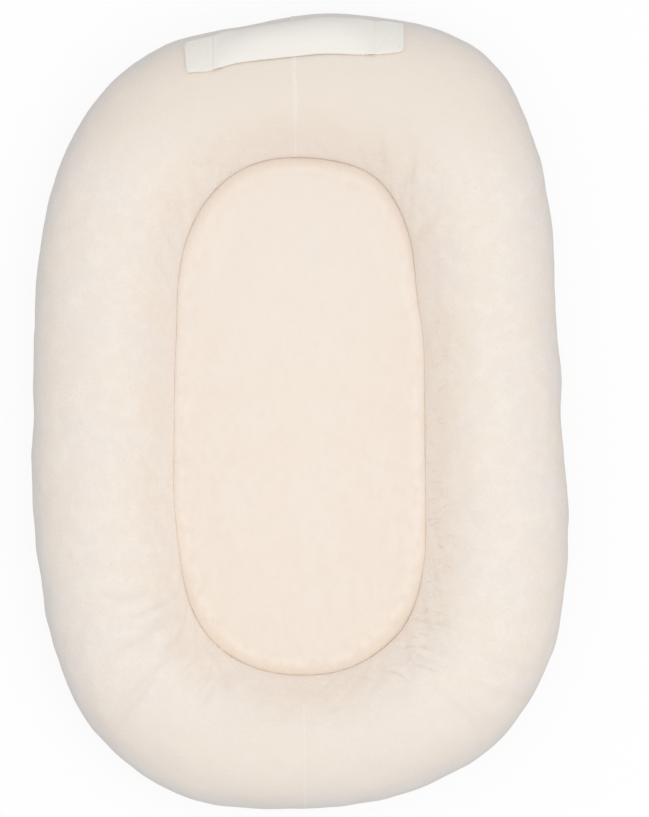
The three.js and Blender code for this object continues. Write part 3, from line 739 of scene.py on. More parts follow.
def settled_relief(side):
    """How far half the cover stands off the smooth ring once it has settled on its filling."""
    spokes = make_spokes(side, SIMULATED_STEP, SIMULATED_STEP)
    places, _ = section_places(SIMULATED_STEP, SIMULATED_STEP)
    r, z = cover_section(spokes["width"][:, None], places[None, :])
    smooth = on_spokes(spokes, r, z)
    normals = grid_normals(smooth) * side
    longer = dict(spokes, inner=spokes["inner"] * (1 + EXTRA_ALONG))
    cut = on_spokes(longer, r * (1 + EXTRA_ACROSS), z * (1 + EXTRA_ACROSS))
    pinned = np.pad(np.zeros(np.subtract(r.shape, 2), bool), 1, constant_values=True)
    ruffled = smooth + normals * (0.3 * MM * soft_noise(smooth, 22 * MM, 21))[..., None]
    cloth = grid_object(f"settling_{SIDES[side]}", ruffled, flip=side < 0)
    points = simulate(cloth, cut, pinned).reshape(smooth.shape)
    stands = ((points - smooth) * normals).sum(axis=-1)
    window = int(round(SETTLED_WINDOW / SIMULATED_STEP)) | 1
    padded = np.pad(stands, ((window // 2, window // 2), (0, 0)), mode="reflect")
    even = sum(padded[k : k + len(stands)] for k in range(window)) / window
    return SETTLED_MOST * np.tanh(SETTLED_SHOWN * (stands - even) / SETTLED_MOST)


def near_handle(points):
    """1 under the handle and just round it, 0 away from it."""
    x, y, z = np.moveaxis(points, -1, 0)
    beside = smooth_share(np.abs(x - HANDLE_OFFSET), HANDLE_LENGTH / 2 + 4 * MM, HANDLE_LENGTH / 2 + 22 * MM)
    below = smooth_share(LOUNGER_LENGTH / 2 - y, 58 * MM, 80 * MM)
    low = smooth_share(-z, -66 * MM, -50 * MM)
    return 1 - np.maximum(np.maximum(beside, below), low)


# Where the cloth is creased: how many, how far they lean from straight across the ring, and then in mm
# x, y, spread along the ring and up its section, and each one's half length, half width and depth
CREASED = [
    (26, 0.0, 127, -50, 40, 12, 7, 1.1, 0.32),
    (40, 0.1, 127, -130, 36, 14, 7, 1.1, 0.4),
    (18, 0.35, 118, -195, 22, 14, 11, 1.2, 0.45),
    (13, 0.55, 112, -228, 26, 18, 17, 1.5, 0.5),
    (9, -0.3, 79, 233, 16, 9, 8, 1.1, 0.42),
    (12, 0.0, 128, 70, 45, 12, 8, 1.2, 0.28),
    (7, 0.0, -140, -200, 30, 24, 34, 4.5, 0.45),
    (5, 0.0, -118, -235, 24, 18, 22, 3.2, 0.35),
    (5, 0.0, -92, -255, 20, 12, 10, 2, 0.25),
    (4, 0.0, 200, -240, 35, 20, 30, 4.0, 0.3),
    (6, 0.0, -85, 240, 30, 14, 8, 1.6, 0.25),
]
CREASED_SPANS = {-1: (0.62, 0.86), 1: (0.44, 0.86)}  # shares of each half's length with the finer creases
# angle round from the pad's middle at which the painted shade near the seam is strongest
SHADED_TURN = math.radians(50)
SEAM_SINK = 0.2 * MM  # how far the seam at the head and the foot draws the cloth in
SEAM_WELTS = {"head": (2.8 * MM, 0.5 * MM), "foot": (1.3 * MM, 0.2 * MM)}  # half width, height


def cover_creases(points, along, up, side):
    """Relief of the single creases, and the painted shade in their troughs, from 0 to 1."""
    draw = np.random.RandomState(20 + side)
    relief, painted_shade = np.zeros(up.shape), np.zeros(up.shape)
    for count, lean, *sizes in CREASED:
        x, y, spread_along, spread_up, length, width, depth = (size * MM for size in sizes)
        if x * side < 0:
            continue
        away = np.hypot(points[..., 0] - x, points[..., 1] - y)
        middle = np.unravel_index(away.argmin(), away.shape)
        for _ in range(count):
            ahead = along - along[middle] - draw.normal(0, spread_along)
            across = up - max(up[middle] + draw.normal(0, spread_up), 4 * MM)
            turn, bend = lean + draw.normal(0, 0.16), draw.normal(0, 0.12)
            long, wide, deep = draw.uniform((0.6, 0.8, 0.4), (1.3, 1.3, 1.2)) * (length, width, depth)
            q = across * math.cos(turn) - ahead * math.sin(turn)
            p = ahead * math.cos(turn) + across * math.sin(turn) + bend * q * q / long
            near = (np.abs(q) < 2 * long) & (np.abs(p) < 4 * wide)
            s = (p[near] / wide) ** 2
            shown = np.exp(-s) * np.exp(-np.abs(q[near] / long) ** 3)
            relief[near] += deep * (2 * s - 1) * shown
            painted_shade[near] = np.maximum(painted_shade[near], shown * deep / depth)
    return relief, np.clip(painted_shade, 0, 1)


def cover_relief(points, along, up, top):
    """Relief of the soft lumps, and of the gathers at the two seams."""
    lumps = 1.0 * MM * soft_noise(points, 95 * MM, 1) + 0.6 * MM * soft_noise(points, 38 * MM, 2)
    lumps += 0.25 * MM * soft_noise(points, 14 * MM, 3)
    unrolled = np.dstack([along, up, np.zeros_like(along)])
    ridges = 0.5 - 1.5 * np.abs(soft_noise(unrolled, (10 * MM, 30 * MM, 1), 31))
    down = top - up
    at_pad = np.exp(-up / (14 * MM))
    at_base = np.exp(-down / (17 * MM))
    gathers = ridges * (0.5 * MM * at_pad + 1.6 * MM * at_base)
    return lumps * (1 - 0.7 * at_pad) + gathers * (1 - np.exp(-down / (3 * MM)))


def painted_seam_shade(spokes, up):
    """How much painted shade darkens the cover near the pad's seam, most of all on the head's right."""
    away = spokes["inner"] - PAD_MIDDLE
    turn = np.arctan2(away[:, 1], away[:, 0])[:, None]
    return (0.52 + 0.48 * np.cos(turn - SHADED_TURN)) * np.exp(-up / (25 * MM))


def make_cover(side):
    """Half of the ring's cover, from the hem at the pad's seam to the base seam."""
    length = make_spokes(side, SIMULATED_STEP, SIMULATED_STEP)["along"][-1]
    close = [length * share for share in CREASED_SPANS[side]]
    spokes = make_spokes(side, 2.8 * MM, 0.9 * MM, close)
    places, up = section_places(3 * MM, 1.2 * MM, (0.1 * MM, 55 * MM))
    r, z = cover_section(spokes["width"][:, None] - SEWN_GAP, places[None, :])
    lift = crease_lift(spokes["inner"])[:, None]
    points = on_spokes(spokes, r + SEWN_GAP, z + lift * np.exp(-up / CREASE_REACH))
    normals = grid_normals(points) * side
    along, up = np.broadcast_arrays(spokes["along"][:, None], up[None, :])
    creases, painted_shade = cover_creases(points, along, up, side)
    relief = cover_relief(points, along * side, up, up.max()) + creases * (1 - bell(up, 4 * MM))
    settled = settled_relief(side)
    shares = (spokes["along"] / spokes["along"][-1], up[0] / up.max())
    relief = relief + resampled(settled, *(share * (n - 1) for share, n in zip(shares, settled.shape)))
    beside_welt = np.maximum(np.minimum(along, along.max() - along) - SEAM_WELTS["head"][0], 0)
    clear = 1 - near_handle(points)
    drawn_in = SEAM_SINK * np.exp(-beside_welt / (12 * MM)) * (0.2 + 0.8 * clear)
    tuck = 1.4 * MM * bell(up.max() - up, 1.8 * MM)
    stands = relief * (1 - bell(beside_welt, 9 * MM)) * clear - drawn_in - tuck
    points = points + normals * (stands * (1 - bell(up, 2 * MM)))[..., None]
    hem_heights = PAD_SEAM_HEIGHT - HEM_DEPTH * np.array([[1, 0.5]]) + lift
    hem = on_spokes(spokes, np.full(hem_heights.shape, SEWN_GAP), hem_heights)
    points = np.hstack([hem, points])
    points[[0, -1], :, 0] += side * SEWN_GAP
    piece = grid_object(f"plush_cover_{SIDES[side]}", points, flip=side < 0)
    # painted shade: darker in the creases' troughs and near the pad's seam
    painted_shade = np.clip(0.6 * painted_shade * clear + painted_seam_shade(spokes, up), 0, 1)
    paint(piece, "painted_shade", "FLOAT", "value", np.pad(painted_shade, ((0, 0), (2, 0)), mode="edge"))
    thicken(piece, PLUSH_CLOTH)
    dress(piece, "plush", [f"ring_cover_{SIDES[side]}"])


def make_welt(end):
    """The narrow sewn ridge over the ring, with the stitches' small pinches."""
    spokes = make_spokes(-1, CLOTH_STEP, CLOTH_STEP)
    at = [0 if end == "head" else -1]
    one = {part: spokes[part][at] for part in ("inner", "way", "width")}
    places, up = section_places(1.1 * MM, 0.8 * MM)
    line = on_spokes(one, *cover_section(one["width"][:, None], places[None, :]))[0]
    sideways = np.array([1.0, 0, 0])
    outward = unit(np.cross(sideways, np.gradient(line, axis=0)) * (1 if end == "head" else -1))
    clear = 1 - near_handle(line)
    pinch = 1 - 0.15 * np.cos(math.pi * up / (3.4 * MM)) ** 8
    shown = 0.15 * smooth_share(up, 8 * MM, 40 * MM) + 0.85 * smooth_share(up, 66 * MM, 96 * MM)
    shown = shown * smooth_share(up[-1] - up, 0, 15 * MM) * (0.3 + 0.7 * clear)
    half_width, height = SEAM_WELTS[end]
    half_width = half_width * (0.35 + 0.65 * smooth_share(up, 60 * MM, 85 * MM))
    rows = []
    for turn in np.linspace(0, 2 * math.pi, 21)[:-1]:
        cosine, sine = math.cos(turn), math.sin(turn)
        crown = height * shown * pinch * max(sine, 0) ** 4
        under = 0.3 * MM * abs(cosine) ** 6 + 0.6 * MM * max(-sine, 0)
        lift = crown + 0.04 * MM - under - SEAM_SINK * (0.2 + 0.8 * clear)
        rows.append(line + outward * lift[:, None] + sideways * (half_width * cosine)[:, None])
    piece = solid_object(f"{end}_seam_welt", rows, tube_faces(len(rows), len(line), around=True))
    dress(piece, "plush", [f"{end}_seam_ridge"], look="seam_edge")


# Sleep surface

def pad_edge_line(step):
    """The pad's edge all round in even steps, from the head seam over the left side."""
    left, right = (loop_points(PAD, *half_stations(side)) for side in SIDES)
    whole = np.vstack([left, right[::-1][1:]])
    along = travelled(whole)
    count = 4 * int(round(along[-1] / step / 4))
    return line_points(np.linspace(0, along[-1], count + 1)[:-1], along, whole)


def inset(edge, q):
    """The pad's edge drawn in by q."""
    x = edge[:, 0] * (1 - q / PAD["half_width"])
    y = (edge[:, 1] + PAD_SETBACK) * (1 - q / PAD["half_length"]) - PAD_SETBACK
    return np.stack([x, y], axis=-1) - OUTLINE_MIDDLE


def patch_inside(loop, corner):
    """Grid that fills a closed loop, its corners that many points from the head and the foot."""
    turned = np.roll(loop, corner, axis=0)
    short = 2 * corner
    half = len(loop) // 2
    top = turned[: short + 1]
    left = turned[short : half + 1]
    bottom = turned[half : short + half + 1][::-1]
    right = np.vstack([turned[short + half :], turned[:1]])[::-1]
    u = np.linspace(0, 1, short + 1)[None, :, None]
    v = np.linspace(0, 1, half - short + 1)[:, None, None]
    sides = (1 - v) * top[None] + v * bottom[None] + (1 - u) * right[:, None] + u * left[:, None]
    corners = (1 - u) * (1 - v) * top[0] + u * (1 - v) * top[-1]
    return sides - corners - (1 - u) * v * bottom[0] - u * v * bottom[-1]


def make_sleep_surface():
    """The pad's cloth: a low dome, rolled down into the seam and hemmed below it."""
    edge = pad_edge_line(2.9 * MM)
    seam = PAD_SEAM_HEIGHT + crease_lift(edge - OUTLINE_MIDDLE)
    rows = [np.column_stack([inset(edge, 0), seam - HEM_DEPTH * share]) for share in (1, 0.5)]
    for share in (0, 0.02, 0.06, 0.12, 0.2, 0.29, 0.39, 0.5, 0.62, 0.74, 0.87, 1):
        rise = (1 - (1 - share) ** 1.7) ** (1 / 1.35)
        rows.append(np.column_stack([inset(edge, PAD_ROLL * share), seam + (PANEL_TOP - seam) * rise]))
    rows = np.array(rows)
    inner = patch_inside(rows[-1], len(edge) * 5 // 64)
    reach = np.abs(inset(edge, PAD_ROLL) - PAD_MIDDLE).max(axis=0)
    share = np.linalg.norm((inner[..., :2] - PAD_MIDDLE) / reach, axis=-1)
    inner[1:-1, 1:-1, 2] = PANEL_TOP + PAD_CROWN * np.maximum(0, 1 - share[1:-1, 1:-1] ** 3)
    points = np.vstack([rows.reshape(-1, 3), inner.reshape(-1, 3)])
    seam_height = np.hstack([np.tile(seam, len(rows)), np.full(inner[..., 0].size, PAD_SEAM_HEIGHT)])
    top = smooth_share(points[:, 2], seam_height, PANEL_TOP)
    relief = 0.5 * MM * soft_noise(points, 70 * MM, 11) + 0.2 * MM * soft_noise(points, 24 * MM, 12)
    points[:, 2] += relief * top
    faces = list(grid_faces(len(rows), len(edge), across=True))
    faces += list(grid_faces(*inner.shape[:2], start=rows[..., 0].size))
    piece = mesh_object("sleep_surface", points, faces)

    def change(made):
        bmesh.ops.remove_doubles(made, verts=made.verts, dist=0.01 * MM)
        face_out(made)

    edit(piece, change)
    top_face = max(piece.data.polygons, key=lambda face: face.center[2])
    if top_face.normal[2] < 0:
        piece.data.flip_normals()
    thicken(piece, PAD_CLOTH)
    dress(piece, "velour", ["centre_panel"])


# Base cloth, in two halves that meet at the zip

OFF_FLOOR = 0.1 * MM


def make_base_cloth(side):
    """Half of the base cloth, from the base seam to the zip's slot, whose line it gives."""
    spokes = make_spokes(side, 4 * MM, 4 * MM)
    width = spokes["width"][:, None]
    turns = -np.radians(np.linspace(50.4, 90, 12))[None, :]
    under_r, under_z = outer_arc(width, turns)
    tuck = 1.2 * MM * bell(np.arange(turns.size), 1.1)
    floor_share = np.linspace(CROWN_SHARE, FLOOR_INNER_SHARE, 7)[1:]
    rising = np.linspace(1, 0, 12)[1:]
    r = np.hstack([under_r - tuck, width * floor_share, width * FLOOR_INNER_SHARE * rising])
    eased = BASE_RISE * smooth_share(1 - rising, -0.25, 1.0)
    flat = np.hstack([0 * floor_share, eased]) + OFF_FLOOR
    z = np.hstack([np.maximum(under_z + tuck, OFF_FLOOR), np.tile(flat, (len(width), 1))])
    outside = on_spokes(spokes, r, z)
    outside[[0, -1], :, 0] += side * SEWN_GAP
    share = spokes["along"] / spokes["along"][-1]
    ends = spokes["inner"][[0, -1]]
    y = np.array([-6, 6]) * MM + ends[:, 1]
    slot_y = y[0] + (y[1] - y[0]) * share
    beyond = np.abs(slot_y - PAD_MIDDLE[1]) - ZIP_SLOT_HALF_LENGTH
    slot_x = side * (SEWN_GAP + ZIP_SLOT_HALF_WIDTH * (1 - smooth_share(beyond, 0.3 * MM, 4.5 * MM)))
    seam_x = np.where(share < 0.5, *ends[:, 0])
    slot_x += PAD_MIDDLE[0] + (seam_x - PAD_MIDDLE[0]) * smooth_share(beyond, 3 * MM, 21 * MM)
    slot = np.column_stack([slot_x, slot_y, np.full(len(share), BASE_RISE)])
    steps = np.hstack([np.linspace(0, 1, 27)[1:-1], 0.985, 1])[None, :, None]
    inside = outside[:, -1:] * (1 - steps) + slot[:, None] * steps
    points = np.hstack([outside, inside])
    columns = np.arange(points.shape[1])
    loose = smooth_share(columns, 18, 30) * smooth_share(columns[-1] - columns, 0, 7)
    relief = 0.7 * MM * soft_noise(points, 60 * MM, 31) + 0.35 * MM * soft_noise(points, 22 * MM, 32)
    points[..., 2] += np.abs(relief) * loose
    piece = grid_object(f"base_cloth_{SIDES[side]}", points, flip=side < 0)
    thicken(piece, BASE_CLOTH)
    dress(piece, "base_cloth", [f"base_panel_{SIDES[side]}"])
    return slot


# Inner casings and fillings

def tube_rows(depth):
    """The stuffed tube's sections round the ring, sunk by depth."""
    under_cover = PLUSH_CLOTH + CLOTH_GAP + FILLING_GAP + depth + STUFFED_ROOM
    on_base = BASE_CLOTH + CLOTH_GAP + depth
    rows = []
    for side, order in ((-1, slice(None)), (1, slice(-2, 0, -1))):
        spokes = make_spokes(side, 24 * MM, 24 * MM)
        width = spokes["width"][:, None]
        r, z = cover_section(width, np.linspace(0, 2, 9)[None, :], under_cover)
        heel_r, heel_z = outer_arc(width, np.array([[-TUBE_HEEL_TURN]]))
        edge = width * FLOOR_INNER_SHARE
        round_r = edge - (edge - under_cover) * math.sin(SIDE_ROUND_TURN)
        round_z = TUBE_SIDE_HEIGHT - (TUBE_SIDE_HEIGHT - on_base) * math.cos(SIDE_ROUND_TURN)
        under = [np.full(width.shape, h) for h in (on_base, on_base, round_z, TUBE_SIDE_HEIGHT)]
        inmost = np.full(width.shape, under_cover)
        r = np.hstack([r, heel_r, width * CROWN_SHARE, edge, round_r, inmost])
        z = np.hstack([z, heel_z + on_base, *under])
        rows.append(on_spokes(spokes, r, z)[order])
    return np.vstack(rows)


def pad_rows(depth):
    """The pad's sections, from its underside round its edge to its top, sunk by depth."""
    edge = pad_edge_line(18 * MM)
    side = PAD_CLOTH + 2 * CLOTH_GAP + depth
    bottom = PAD_UNDERSIDE + depth
    top = PAD_TOP - depth - STUFFED_ROOM
    waist = PAD_UNDERSIDE + PAD_WAIST_HEIGHT
    shoulder = PAD_SEAM_HEIGHT - HEM_DEPTH - CLOTH_GAP
    section = [
        (PAD_WIDTH / 2 - 4 * MM, bottom),
        (PAD_WIDTH / 4, bottom),
        (PAD_FOOT_ROLL + depth, bottom),
        (side + (PAD_FOOT_ROLL - side) * (1 - math.sin(SIDE_ROUND_TURN)), waist - (waist - bottom) * 0.64),
        (side, waist),
        (side, shoulder),
        (side + PAD_ROLL * 0.3, top - 4 * MM),
        (side + PAD_ROLL, top),
        (PAD_WIDTH / 4, top + PAD_CROWN * 0.7),
        (PAD_WIDTH / 2 - 4 * MM, top + PAD_CROWN),
    ]
    return np.stack([np.column_stack([inset(edge, q), np.full(len(edge), z)]) for q, z in section], axis=1)


def stuffed(name, points, across, slit_column):
    """A closed, smooth form, with its filling slit open at slit_column."""
    rows, columns = points.shape[:2]
    faces = grid_faces(rows, columns, True, True) if across else tube_faces(rows, columns, around=True)
    faces = [f for f in faces if f[0] % columns != slit_column or f[0] // columns > 3]
    piece = solid_object(name, points, faces)
    smooth = piece.modifiers.new("smooth", "SUBSURF")
    smooth.levels = smooth.render_levels = 2
    return piece


def make_inner():
    """The ring's and the pad's casings, each with a filling slit, and what fills them."""
    inside = CASING_CLOTH + FILLING_GAP
    for name, points, across, slit_column, slot, node, fill in (
        ("bolster_inner_casing", tube_rows(0), True, 10, "casing_cotton", "bolster_casing", 0.9),
        ("bolster_filling", tube_rows(inside), True, None, "fibre_filling", "bolster_fill", 0.9),
        ("pad_inner_casing", pad_rows(0), False, 4, "casing_cotton", "pad_casing", 0.8),
        ("pad_foam_core", pad_rows(inside), False, None, "pad_foam", "pad_core", 0.8),
    ):
        piece = stuffed(name, points, across, slit_column)
        if slit_column:
            thicken(piece, CASING_CLOTH)
        dress(piece, slot, [node])


# Carry handle

def shoulder_points(x, turn, lift):
    """Points over the ring's shoulder at the head, found on the spoke that has that x there."""
    x, turn, lift = np.broadcast_arrays(x, turn, lift)

    def at(away):
        inner, outer = pad_and_ring((1, np.where(away < 0, -1, 1), 1, math.pi / 2 - np.abs(away)))
        width = np.linalg.norm(outer - inner, axis=-1)
        r, z = outer_arc(width, turn, -lift)
        level = inner + (outer - inner) / width[..., None] * r[..., None]
        return np.concatenate([level, z[..., None]], axis=-1)

    low = np.full(x.shape, -HANDLE_REACH_TURN)
    high = -low
    for _ in range(28):
        middle = (low + high) / 2
        short = at(middle)[..., 0] < x
        low = np.where(short, middle, low)
        high = np.where(short, high, middle)
    return at((low + high) / 2)


def handle_drift(u, v):
    """How far the handle lies to the right and inwards of its line, as it was sewn on."""
    left, right = smooth_share(-u, 0.8, 1), smooth_share(u, 0.8, 1)
    corner = 1.5 * MM * (2 * v) ** 8 * smooth_share(np.abs(u), 0.95, 1)
    along = left * (1.2 * MM + 2.3 * MM * (v + 0.5)) - right * 1.3 * MM - np.sign(u) * corner
    inner = 4.6 * MM * bell(u + 0.75, 0.16) - 2.2 * MM * bell(u - 0.38, 0.3)
    outer = 4 * MM * (smooth_share(-u, 0.55, 0.8) + right + bell(u + 0.15, 0.4))
    return along, outer + (inner - outer) * (v + 0.5)


def handle_points(u, v, lift):
    """Points of the handle: u from -1 at its left end to 1, v across it from -1/2, lift off the cover."""
    ends_turn = HANDLE_LEFT_TURN + (HANDLE_RIGHT_TURN - HANDLE_LEFT_TURN) * (u + 1) / 2
    across = HANDLE_WIDTH * np.cos(HANDLE_SPLAY * u)
    along, inwards = handle_drift(u, v)
    turn = ends_turn + HANDLE_RISE_TURN * (1 - u**2) * (1 + u) + (v * across + inwards) / SHOULDER_RISE
    return shoulder_points(HANDLE_OFFSET + u * HANDLE_LENGTH / 2 + along, turn, lift)


def laid_flat(u, v):
    """The same places on the flat webbing, from its middle."""
    return np.stack([u * HANDLE_LENGTH / 2, v * HANDLE_WIDTH], axis=-1)


EDGE_DROOP = (9.4 * MM, 6.2 * MM)  # how much lower the span hangs at its inner and its outer edge
STITCH_U = 2 * STITCH_INSET / HANDLE_LENGTH
STITCH_V = 0.5 - STITCH_INSET / HANDLE_WIDTH


def stitch_lines(side):
    """The box and the cross that hold one end down, as pairs of (u, v)."""
    inner, outer = side * (HANDLE_SPAN_END + STITCH_U), side * (1 - STITCH_U)
    corners = [(inner, -STITCH_V), (outer, -STITCH_V), (outer, STITCH_V), (inner, STITCH_V)]
    lines = [(corners[k], corners[(k + 1) % 4]) for k in range(4)]
    return lines + [(corners[0], corners[2]), (corners[1], corners[3])]


def stitch_dent(u, v):
    """How near a point of the webbing is to a line of stitches, 1 on it."""
    place = laid_flat(u, v)
    nearest = np.full(u.shape, 1.0)
    for a, b in (laid_flat(*np.transpose(line)) for side in SIDES for line in stitch_lines(side)):
        t = np.clip(((place - a) @ (b - a)) / ((b - a) @ (b - a)), 0, 1)
        nearest = np.minimum(nearest, np.linalg.norm(place - a - t[..., None] * (b - a), axis=-1))
    return bell(nearest, 1.3 * MM)


def bow(u):
    """How far the free span stands off."""
    return HANDLE_BOW_HEIGHT * np.clip(1 - (u / HANDLE_SPAN_END) ** 4, 0, 1) ** 2


def make_handle():
    """One length of webbing, folded under and sewn down at both ends."""
    folded = HANDLE_SPAN_END
    step = 0.4 * MM / (HANDLE_LENGTH / 2)
    end = np.hstack([np.linspace(folded, 1 - 4 * step, 26), 1 - step * np.array([2.4, 1.2, 0.4, 0])])
    free = np.linspace(-folded + step, folded - step, 101)
    u = np.sort(np.hstack([-end, free, -step / 2, step / 2, end]))
    end_rounding = np.sqrt(1 - np.clip(1 - (1 - np.abs(u)) / (4 * step), 0, 1) ** 2)
    end_rounding = np.maximum(end_rounding, 0.12)[:, None]
    v_top = np.linspace(-0.5, 0.5, 31) * (1 - 1.0 * MM / HANDLE_WIDTH)
    ring_v = np.hstack([-0.5, v_top, 0.5, v_top[::-1]])
    ring_h = np.hstack([0.5, np.ones(31), 0.5, np.zeros(31)])
    u, v = np.meshgrid(u, ring_v, indexing="ij")
    on_top = np.broadcast_to(ring_h, u.shape)
    flat = laid_flat(u, v)
    sewn = np.abs(u) > folded - step / 2
    low = np.where(sewn, CLOTH_GAP, CLOTH_GAP + WEBBING + bow(u))
    high = CLOTH_GAP + 2 * WEBBING + bow(u)
    lift = (low + high) / 2 + (high - low) / 2 * end_rounding * (2 * on_top - 1)
    inner = EDGE_DROOP[0] * smooth_share(bow(u), 0, HANDLE_BOW_HEIGHT / 2)
    inner = np.minimum(inner, np.maximum(low - 0.4 * MM, 0)) * np.clip(2 * v, 0, 1) ** 2
    outer = EDGE_DROOP[1] * smooth_share(bow(u), 0, HANDLE_BOW_HEIGHT) * np.clip(-2 * v, 0, 1) ** 2
    lift = lift - inner - outer * (1 - 0.2 * smooth_share(u, 0, 0.5))
    fold = 0.45 * MM * bell((np.abs(u) - folded) * HANDLE_LENGTH / 2, 2.2 * MM)
    lift = lift - (on_top > 0.9) * end_rounding**4 * (0.14 * MM * stitch_dent(u, v) + fold * sewn)
    uneven = 0.25 * MM * soft_noise(np.dstack([flat, 0 * u]), 16 * MM, 41)
    points = handle_points(u, v, lift + uneven * smooth_share(np.abs(u), 1.0, 0.9))
    place = np.dstack([flat, on_top * WEBBING])
    middle = int(np.abs(u[:, 0]).argmin())
    for side, rows in ((-1, slice(0, middle + 1)), (1, slice(len(u) - 1, middle - 1, -1))):
        make_handle_half(side, points[rows], place[rows])


def make_handle_half(side, points, place):
    """Half of the webbing, from its sewn end to the middle."""
    piece = grid_object(f"carry_handle_{SIDES[side]}", points, across=True)
    paint(piece, "weave", "FLOAT_VECTOR", "vector", place)
    columns = points.shape[1]

    def change(made):
        for k in range(columns // 2):
            corners = list(dict.fromkeys([k, k + 1, columns - k - 1, (columns - k) % columns]))
            if len(corners) > 2:
                made.faces.new([made.verts[c] for c in corners])
        face_out(made)

    edit(piece, change)
    dress(piece, "webbing", [f"handle_end_{SIDES[side]}", "handle_span"], body=None)
    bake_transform(piece)


def make_handle_stitches(side):
    """Threads of the box and the cross on one sewn-down end."""
    middles, ahead, up = [], [], []
    for (u0, v0), (u1, v1) in stitch_lines(side):
        reach = math.hypot(*laid_flat(u1 - u0, v1 - v0))
        count = max(2, int(round(reach / (3.1 * MM))))
        t = (np.arange(count) + 0.5) / count
        t = np.stack([t - 0.01, t, t + 0.01])
        u, v = u0 + (u1 - u0) * t, v0 + (v1 - v0) * t
        lift = CLOTH_GAP + 2 * WEBBING
        before, at, after = handle_points(u, v, lift)
        middles += list(at)
        ahead += list(after - before)
        up += list(handle_points(u[1], v[1], lift + 1 * MM) - at)
    profile = stitch_profile(2.5 * MM, 0.32 * MM, 0.3 * MM)
    piece = rods(f"handle_stitches_{SIDES[side]}", middles, ahead, up, profile, sides=6)
    dress(piece, "thread", [f"handle_stitching_{SIDES[side]}"])


# Zip

# A tooth's section from its head outwards: shares of its half length, half width and half height
TOOTH_SHARES = [
    (-1, 0.3, 0.5),
    (-0.85, 0.8, 0.85),
    (-0.5, 1, 1),
    (0.3, 0.9, 0.9),
    (0.6, 0.6, 0.85),
    (0.9, 0.6, 0.8),
    (1, 0.3, 0.5),
]


def make_zip_teeth(side):
    """One row of a closed nylon coil, its heads between those of the other row."""
    count = int(2 * ZIP_HALF / TEETH_PITCH) - 1
    y = PAD_MIDDLE[1] + (np.arange(count) - (count - 1) / 2 + side * 0.25) * TEETH_PITCH
    inner, outer = -0.35 * MM, TEETH_GAP / 2 + TEETH_WIDTH
    middle = PAD_MIDDLE[0] + side * (inner + outer) / 2
    half = (outer - inner) / 2
    middles = np.column_stack([np.full(count, middle), y, np.full(count, BASE_RISE + TEETH_MIDDLE)])
    profile = [(side * -half * a, 0.52 * MM * b, 1.05 * MM * c, 0.0) for a, b, c in TOOTH_SHARES]
    ahead, up = np.tile([1.0, 0, 0], (count, 1)), np.tile([0, 0, 1.0], (count, 1))
    piece = rods(f"zip_coil_{SIDES[side]}", middles, ahead, up, profile, sides=8)
    dress(piece, "zip_nylon", [f"zip_teeth_{SIDES[side]}"])


def make_zip_topstitch(side, slot):
    """Stitches beside the slot that hold the base cloth to the zip's tape."""
    inside = np.abs(slot[:, 1] - PAD_MIDDLE[1]) < ZIP_SLOT_HALF_LENGTH + 8 * MM
    line = slot[inside] + [side * 2.6 * MM, 0, 0]
    along = travelled(line)
    places = np.arange(2 * MM, along[-1], 3.7 * MM)
    middles = line_points(places, along, line)
    ahead = line_points(places + 1 * MM, along, line) - middles
    keep = np.linalg.norm(ahead, axis=1) > 0.5 * MM
    up = np.tile([0, 0, -1.0], (keep.sum(), 1))
    profile = stitch_profile(3.0 * MM, 0.3 * MM, 0.3 * MM)
    piece = rods(f"zip_topstitch_{SIDES[side]}", middles[keep], ahead[keep], up, profile, sides=6)
    dress(piece, "thread")


def make_zip_band(side):
    """Half of the zip's tape, with a cord woven in beside the teeth."""
    low, high = (np.array(corner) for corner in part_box(f"zip_tape_{SIDES[side]}"))
    inner, outer = (low[0], high[0]) if side > 0 else (high[0], low[0])
    wide = abs(outer - inner)
    share = np.linspace(0, 1, 25)
    cord = 0.12 * MM * bell(share * wide - 2.8 * MM, 0.5 * MM)
    lower = np.stack([inner + (outer - inner) * share, low[2] - cord], axis=-1)
    section = np.vstack([lower, lower[::-1] * [1, 0] + [0, high[2]]])
    x, y = np.meshgrid(section[:, 0], np.linspace(low[1], high[1], 150))
    points = np.dstack([x, y, np.broadcast_to(section[:, 1], x.shape)])
    points[..., 2] += 0.05 * MM * soft_noise(points, 14 * MM, 51)
    piece = solid_object(f"zip_band_{SIDES[side]}", points, tube_faces(*x.shape))
    dress(piece, "zip_tape", [f"zip_tape_{SIDES[side]}"])


def finish_zip_metal():
    """Rounded edges and metal on the solids that are shown as they are."""
    for name in ("zip_slider", "zip_pull_tab", "zip_top_stop_left", "zip_top_stop_right", "zip_bottom_stop"):
        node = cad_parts[name]
        node.data.materials.clear()
        node.data.materials.append(finishes["zip_metal"])
        bevel = node.modifiers.new("edges", "BEVEL")
        bevel.width = 0.18 * MM
        bevel.segments = 2
        bevel.limit_method = "ANGLE"
        bevel.angle_limit = math.radians(40)


# Camera, light and floor

VIEW_HEIGHT = 760.5 * MM  # what the picture takes in, at the height of the ring's crown
VIEW_MIDDLE = (22.8 * MM, 2.3 * MM)
VIEW_PLANE = 75 * MM
CAMERA_DISTANCE = 12.0
SENSOR = 36.0
FLOOR_REACH = 40.0


def make_camera():
    data = bpy.data.cameras.new("camera")
    data.sensor_width = SENSOR
    data.lens = SENSOR * CAMERA_DISTANCE / VIEW_HEIGHT
    data.clip_end = 3 * CAMERA_DISTANCE
    camera = add_object("camera", data)
    camera.location = (*VIEW_MIDDLE, VIEW_PLANE + CAMERA_DISTANCE)
    bpy.context.scene.camera = camera


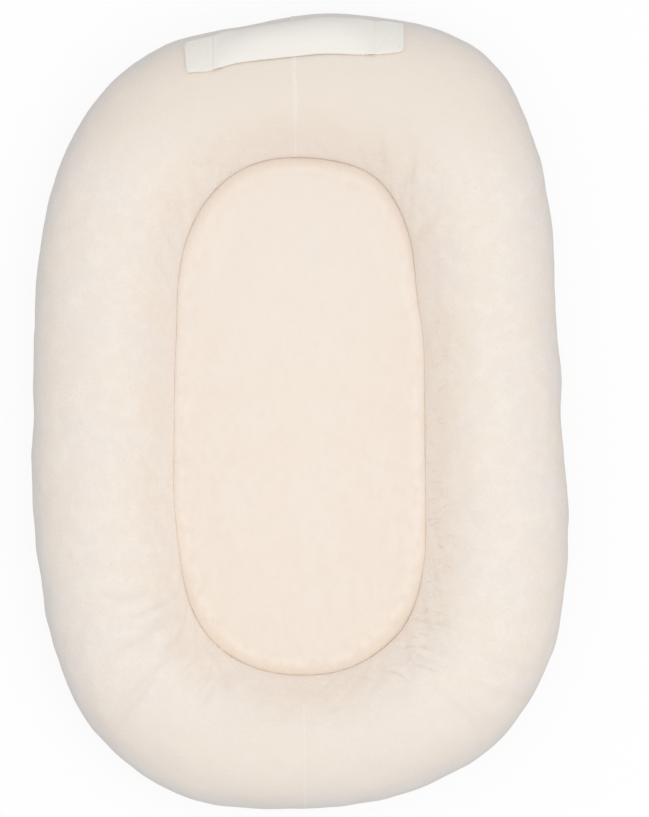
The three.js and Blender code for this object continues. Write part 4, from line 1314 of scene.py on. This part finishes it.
def make_lamp(name, place, size, power):
    data = bpy.data.lights.new(name, "AREA")
    data.shape = "DISK"
    data.size = size
    data.energy = power
    lamp = add_object(name, data)
    lamp.location = place
    lamp.rotation_euler = (-Vector(place)).to_track_quat("-Z", "Y").to_euler()


def seen_directly(nodes):
    """1 for what the camera sees itself, mirrored or through glass, 0 for other light."""
    path = nodes.add("LightPath").outputs
    seen = path["Is Camera Ray"]
    for ray in ("Is Glossy Ray", "Is Transmission Ray"):
        seen = nodes.maths("MAXIMUM", seen, path[ray])
    return seen


def make_world(strength):
    """Even light from all round, on a white background."""
    world = bpy.data.worlds.new("world")
    bpy.context.scene.world = world
    world.use_nodes = True
    nodes = Nodes(world.node_tree)
    background = nodes.tree.nodes["Background"].inputs
    scale = nodes.add("MapRange", Value=seen_directly(nodes), To_Min=strength, To_Max=1.0)
    nodes.feed(background["Strength"], scale.outputs["Result"])
    nodes.feed(background["Color"], (1, 1, 1, 1))


def make_floor():
    """A plain pale floor that shows white to the camera but keeps the soft shadow."""
    corners = [(x * FLOOR_REACH, y * FLOOR_REACH, 0) for x, y in ((-1, -1), (1, -1), (1, 1), (-1, 1))]
    floor = mesh_object("floor", corners, [(0, 1, 2, 3)], smooth=False)
    finish = Finish("floor", 1.0, Specular_IOR_Level=0.0)
    seen = seen_directly(finish)
    floor.data.materials.append(finish.made(finish.blend(seen, (188, 190, 194), (255, 255, 255))))
    mix = finish.add("MixShader", Fac=finish.times(seen, 0.88))
    finish.feed(mix.inputs[1], finish.shader.outputs[0])
    finish.feed(mix.inputs[2], finish.add("Emission").outputs[0])
    finish.feed(finish.tree.nodes["Material Output"].inputs["Surface"], mix.outputs[0])


make_camera()
make_world(strength=0.86)
make_lamp("overhead", place=(0.7, -0.35, 2.6), size=1.4, power=9)
make_floor()
bpy.context.scene.view_settings.view_transform = "Standard"

for end in ("head", "foot"):
    make_welt(end)
make_sleep_surface()
make_inner()
make_handle()
for side in SIDES:
    make_cover(side)
    slot_line = make_base_cloth(side)
    make_handle_stitches(side)
    make_zip_teeth(side)
    make_zip_band(side)
    make_zip_topstitch(side, slot_line)
finish_zip_metal()
